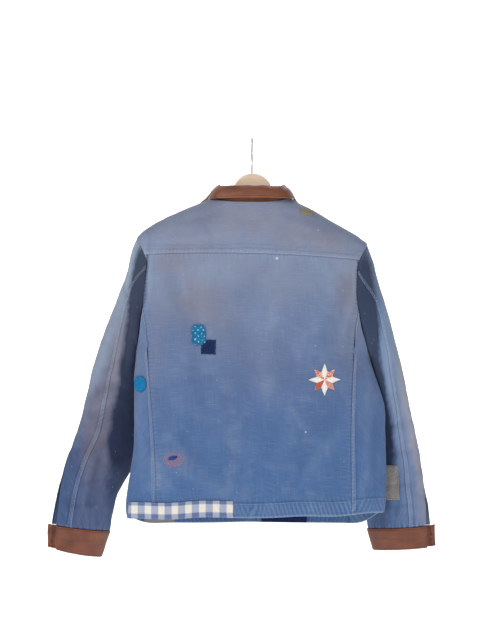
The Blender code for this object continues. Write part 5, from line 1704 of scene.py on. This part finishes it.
# ---------------------------------------------------------------- hanger
def hanger_outline():
    top = []
    for i in range(33):
        a = math.pi * i / 32
        top.append((0.0010 + 0.040 * math.cos(a), -0.1100 + 0.0400 * math.sin(a)))
    left = [(-0.048, -0.1240), (-0.075, -0.1300), (-0.101, -0.1400), (-0.133, -0.1530), (-0.161, -0.1650), (-0.187, -0.1770), (-0.203, -0.1890)]
    left_low = [(-0.207, -0.1990), (-0.198, -0.2080), (-0.165, -0.1960), (-0.120, -0.1800), (-0.070, -0.1660)]
    right_low = [(0.0, -0.1580), (0.068, -0.1680), (0.115, -0.1840), (0.160, -0.2020), (0.192, -0.2150)]
    right = [(0.203, -0.2060), (0.198, -0.1960), (0.181, -0.1880), (0.159, -0.1760), (0.139, -0.1650), (0.119, -0.1550), (0.093, -0.1420), (0.070, -0.1310), (0.048, -0.1240)]
    return top + left + left_low + right_low + right


curve = bpy.data.curves.new("hanger_wood", "CURVE")
curve.dimensions = "2D"
curve.fill_mode = "BOTH"
curve.extrude = 0.006 - 0.0036
curve.bevel_depth = 0.0036
curve.bevel_resolution = 5
curve.offset = -0.0036
sp = curve.splines.new("POLY")
pts = hanger_outline()
sp.points.add(len(pts) - 1)
for p, (x, z) in zip(sp.points, pts):
    p.co = (x, z, 0, 1)
sp.use_cyclic_u = True
flat = bpy.data.objects.new("hanger_flat", curve)
bpy.context.scene.collection.objects.link(flat)
bpy.context.view_layer.update()
mesh = bpy.data.meshes.new_from_object(flat.evaluated_get(bpy.context.evaluated_depsgraph_get()))
bpy.data.objects.remove(flat, do_unlink=True)
mesh.materials.clear()
mesh.materials.append(WOOD.m)
board = bpy.data.objects.new("hanger_wood", mesh)
board.rotation_euler = (math.pi / 2, 0, 0)
bpy.context.scene.collection.objects.link(board)
bm = bmesh.new()
bm.from_mesh(mesh)
bmesh.ops.remove_doubles(bm, verts=bm.verts, dist=0.00003)
bm.to_mesh(mesh)
bm.free()
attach(board, "root")
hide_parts("hanger_board")

WIRE, R = 0.0016, 0.017
curve = bpy.data.curves.new("hanger_wire", "CURVE")
curve.dimensions = "3D"
curve.bevel_depth = WIRE
curve.bevel_resolution = 6
curve.use_fill_caps = True
path = [(0, 0, -0.0696), (0, 0, -0.056), (0, 0, -0.047), (0, 0.003, -0.0405)]
for i in range(43):
    a = math.radians(-70 + 262 * i / 42)
    path.append((0, R * math.cos(a), -R + WIRE + R * math.sin(a)))
sp = curve.splines.new("POLY")
sp.points.add(len(path) - 1)
for p, q in zip(sp.points, path):
    p.co = (*q, 1)
sp.use_smooth = True
wire = bpy.data.objects.new("hanger_wire", curve)
bpy.context.scene.collection.objects.link(wire)
curve.materials.append(STEEL.m)
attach(wire, "root")
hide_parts("hanger_hook")


# ---------------------------------------------------------------- studio
def stage_material(name, colour, glow=0.0):
    m = bpy.data.materials.new(name)
    m.use_nodes = True
    p = m.node_tree.nodes["Principled BSDF"]
    p.inputs["Base Color"].default_value = colour
    p.inputs["Roughness"].default_value = 0.9
    p.inputs["Specular IOR Level"].default_value = 0.1
    if glow:
        p.inputs["Emission Color"].default_value = (1, 1, 1, 1)
        p.inputs["Emission Strength"].default_value = glow
    return m


sweep = bpy.data.meshes.new("sweep")
prof = [(-5.5, -1.15), (4.6, -1.15)] + [(4.6 + 0.9 * math.sin(math.radians(9 * i)), -1.15 + 0.9 * (1 - math.cos(math.radians(9 * i)))) for i in range(1, 11)] + [(5.5, 5.0)]
sweep.from_pydata([(x, y, z) for y, z in prof for x in (-7.0, 7.0)], [], [(2 * i, 2 * i + 1, 2 * i + 3, 2 * i + 2) for i in range(len(prof) - 1)])
sweep.polygons.foreach_set("use_smooth", [True] * len(sweep.polygons))
sweep.materials.append(stage_material("sweep_white", (0.9, 0.9, 0.9, 1), 0.8))
floor = bpy.data.objects.new("sweep", sweep)
bpy.context.scene.collection.objects.link(floor)

world = bpy.data.worlds.new("studio")
bpy.context.scene.world = world
world.use_nodes = True
world.node_tree.nodes["Background"].inputs[0].default_value = (0.97, 0.98, 1.0, 1)
world.node_tree.nodes["Background"].inputs[1].default_value = 0.32


def area_light(name, place, aim, size, power, colour=(1, 1, 1)):
    data = bpy.data.lights.new(name, "AREA")
    data.shape = "DISK"
    data.size = size
    data.energy = power
    data.color = colour
    ob = bpy.data.objects.new(name, data)
    ob.location = place
    ob.rotation_euler = (Vector(aim) - Vector(place)).to_track_quat("-Z", "Y").to_euler()
    bpy.context.scene.collection.objects.link(ob)


area_light("key", (-1.7, -2.6, 1.3), (0, 0, -0.4), 1.1, 56, (1.0, 0.99, 0.97))
area_light("fill", (2.3, -2.4, 0.0), (0, 0, -0.45), 1.8, 15, (0.95, 0.98, 1.0))
area_light("rim", (0.3, 1.4, 1.6), (0, 0, -0.3), 1.2, 14)

cam = bpy.data.cameras.new("camera")
cam.lens = 90
cam.sensor_width = 36
cam.dof.use_dof = False
camera = bpy.data.objects.new("camera", cam)
camera.location = (-0.024, -3.2, -0.363)
camera.rotation_euler = (math.pi / 2, 0, 0)
bpy.context.scene.collection.objects.link(camera)
bpy.context.scene.camera = camera
bpy.context.scene.view_settings.view_transform = "Standard"
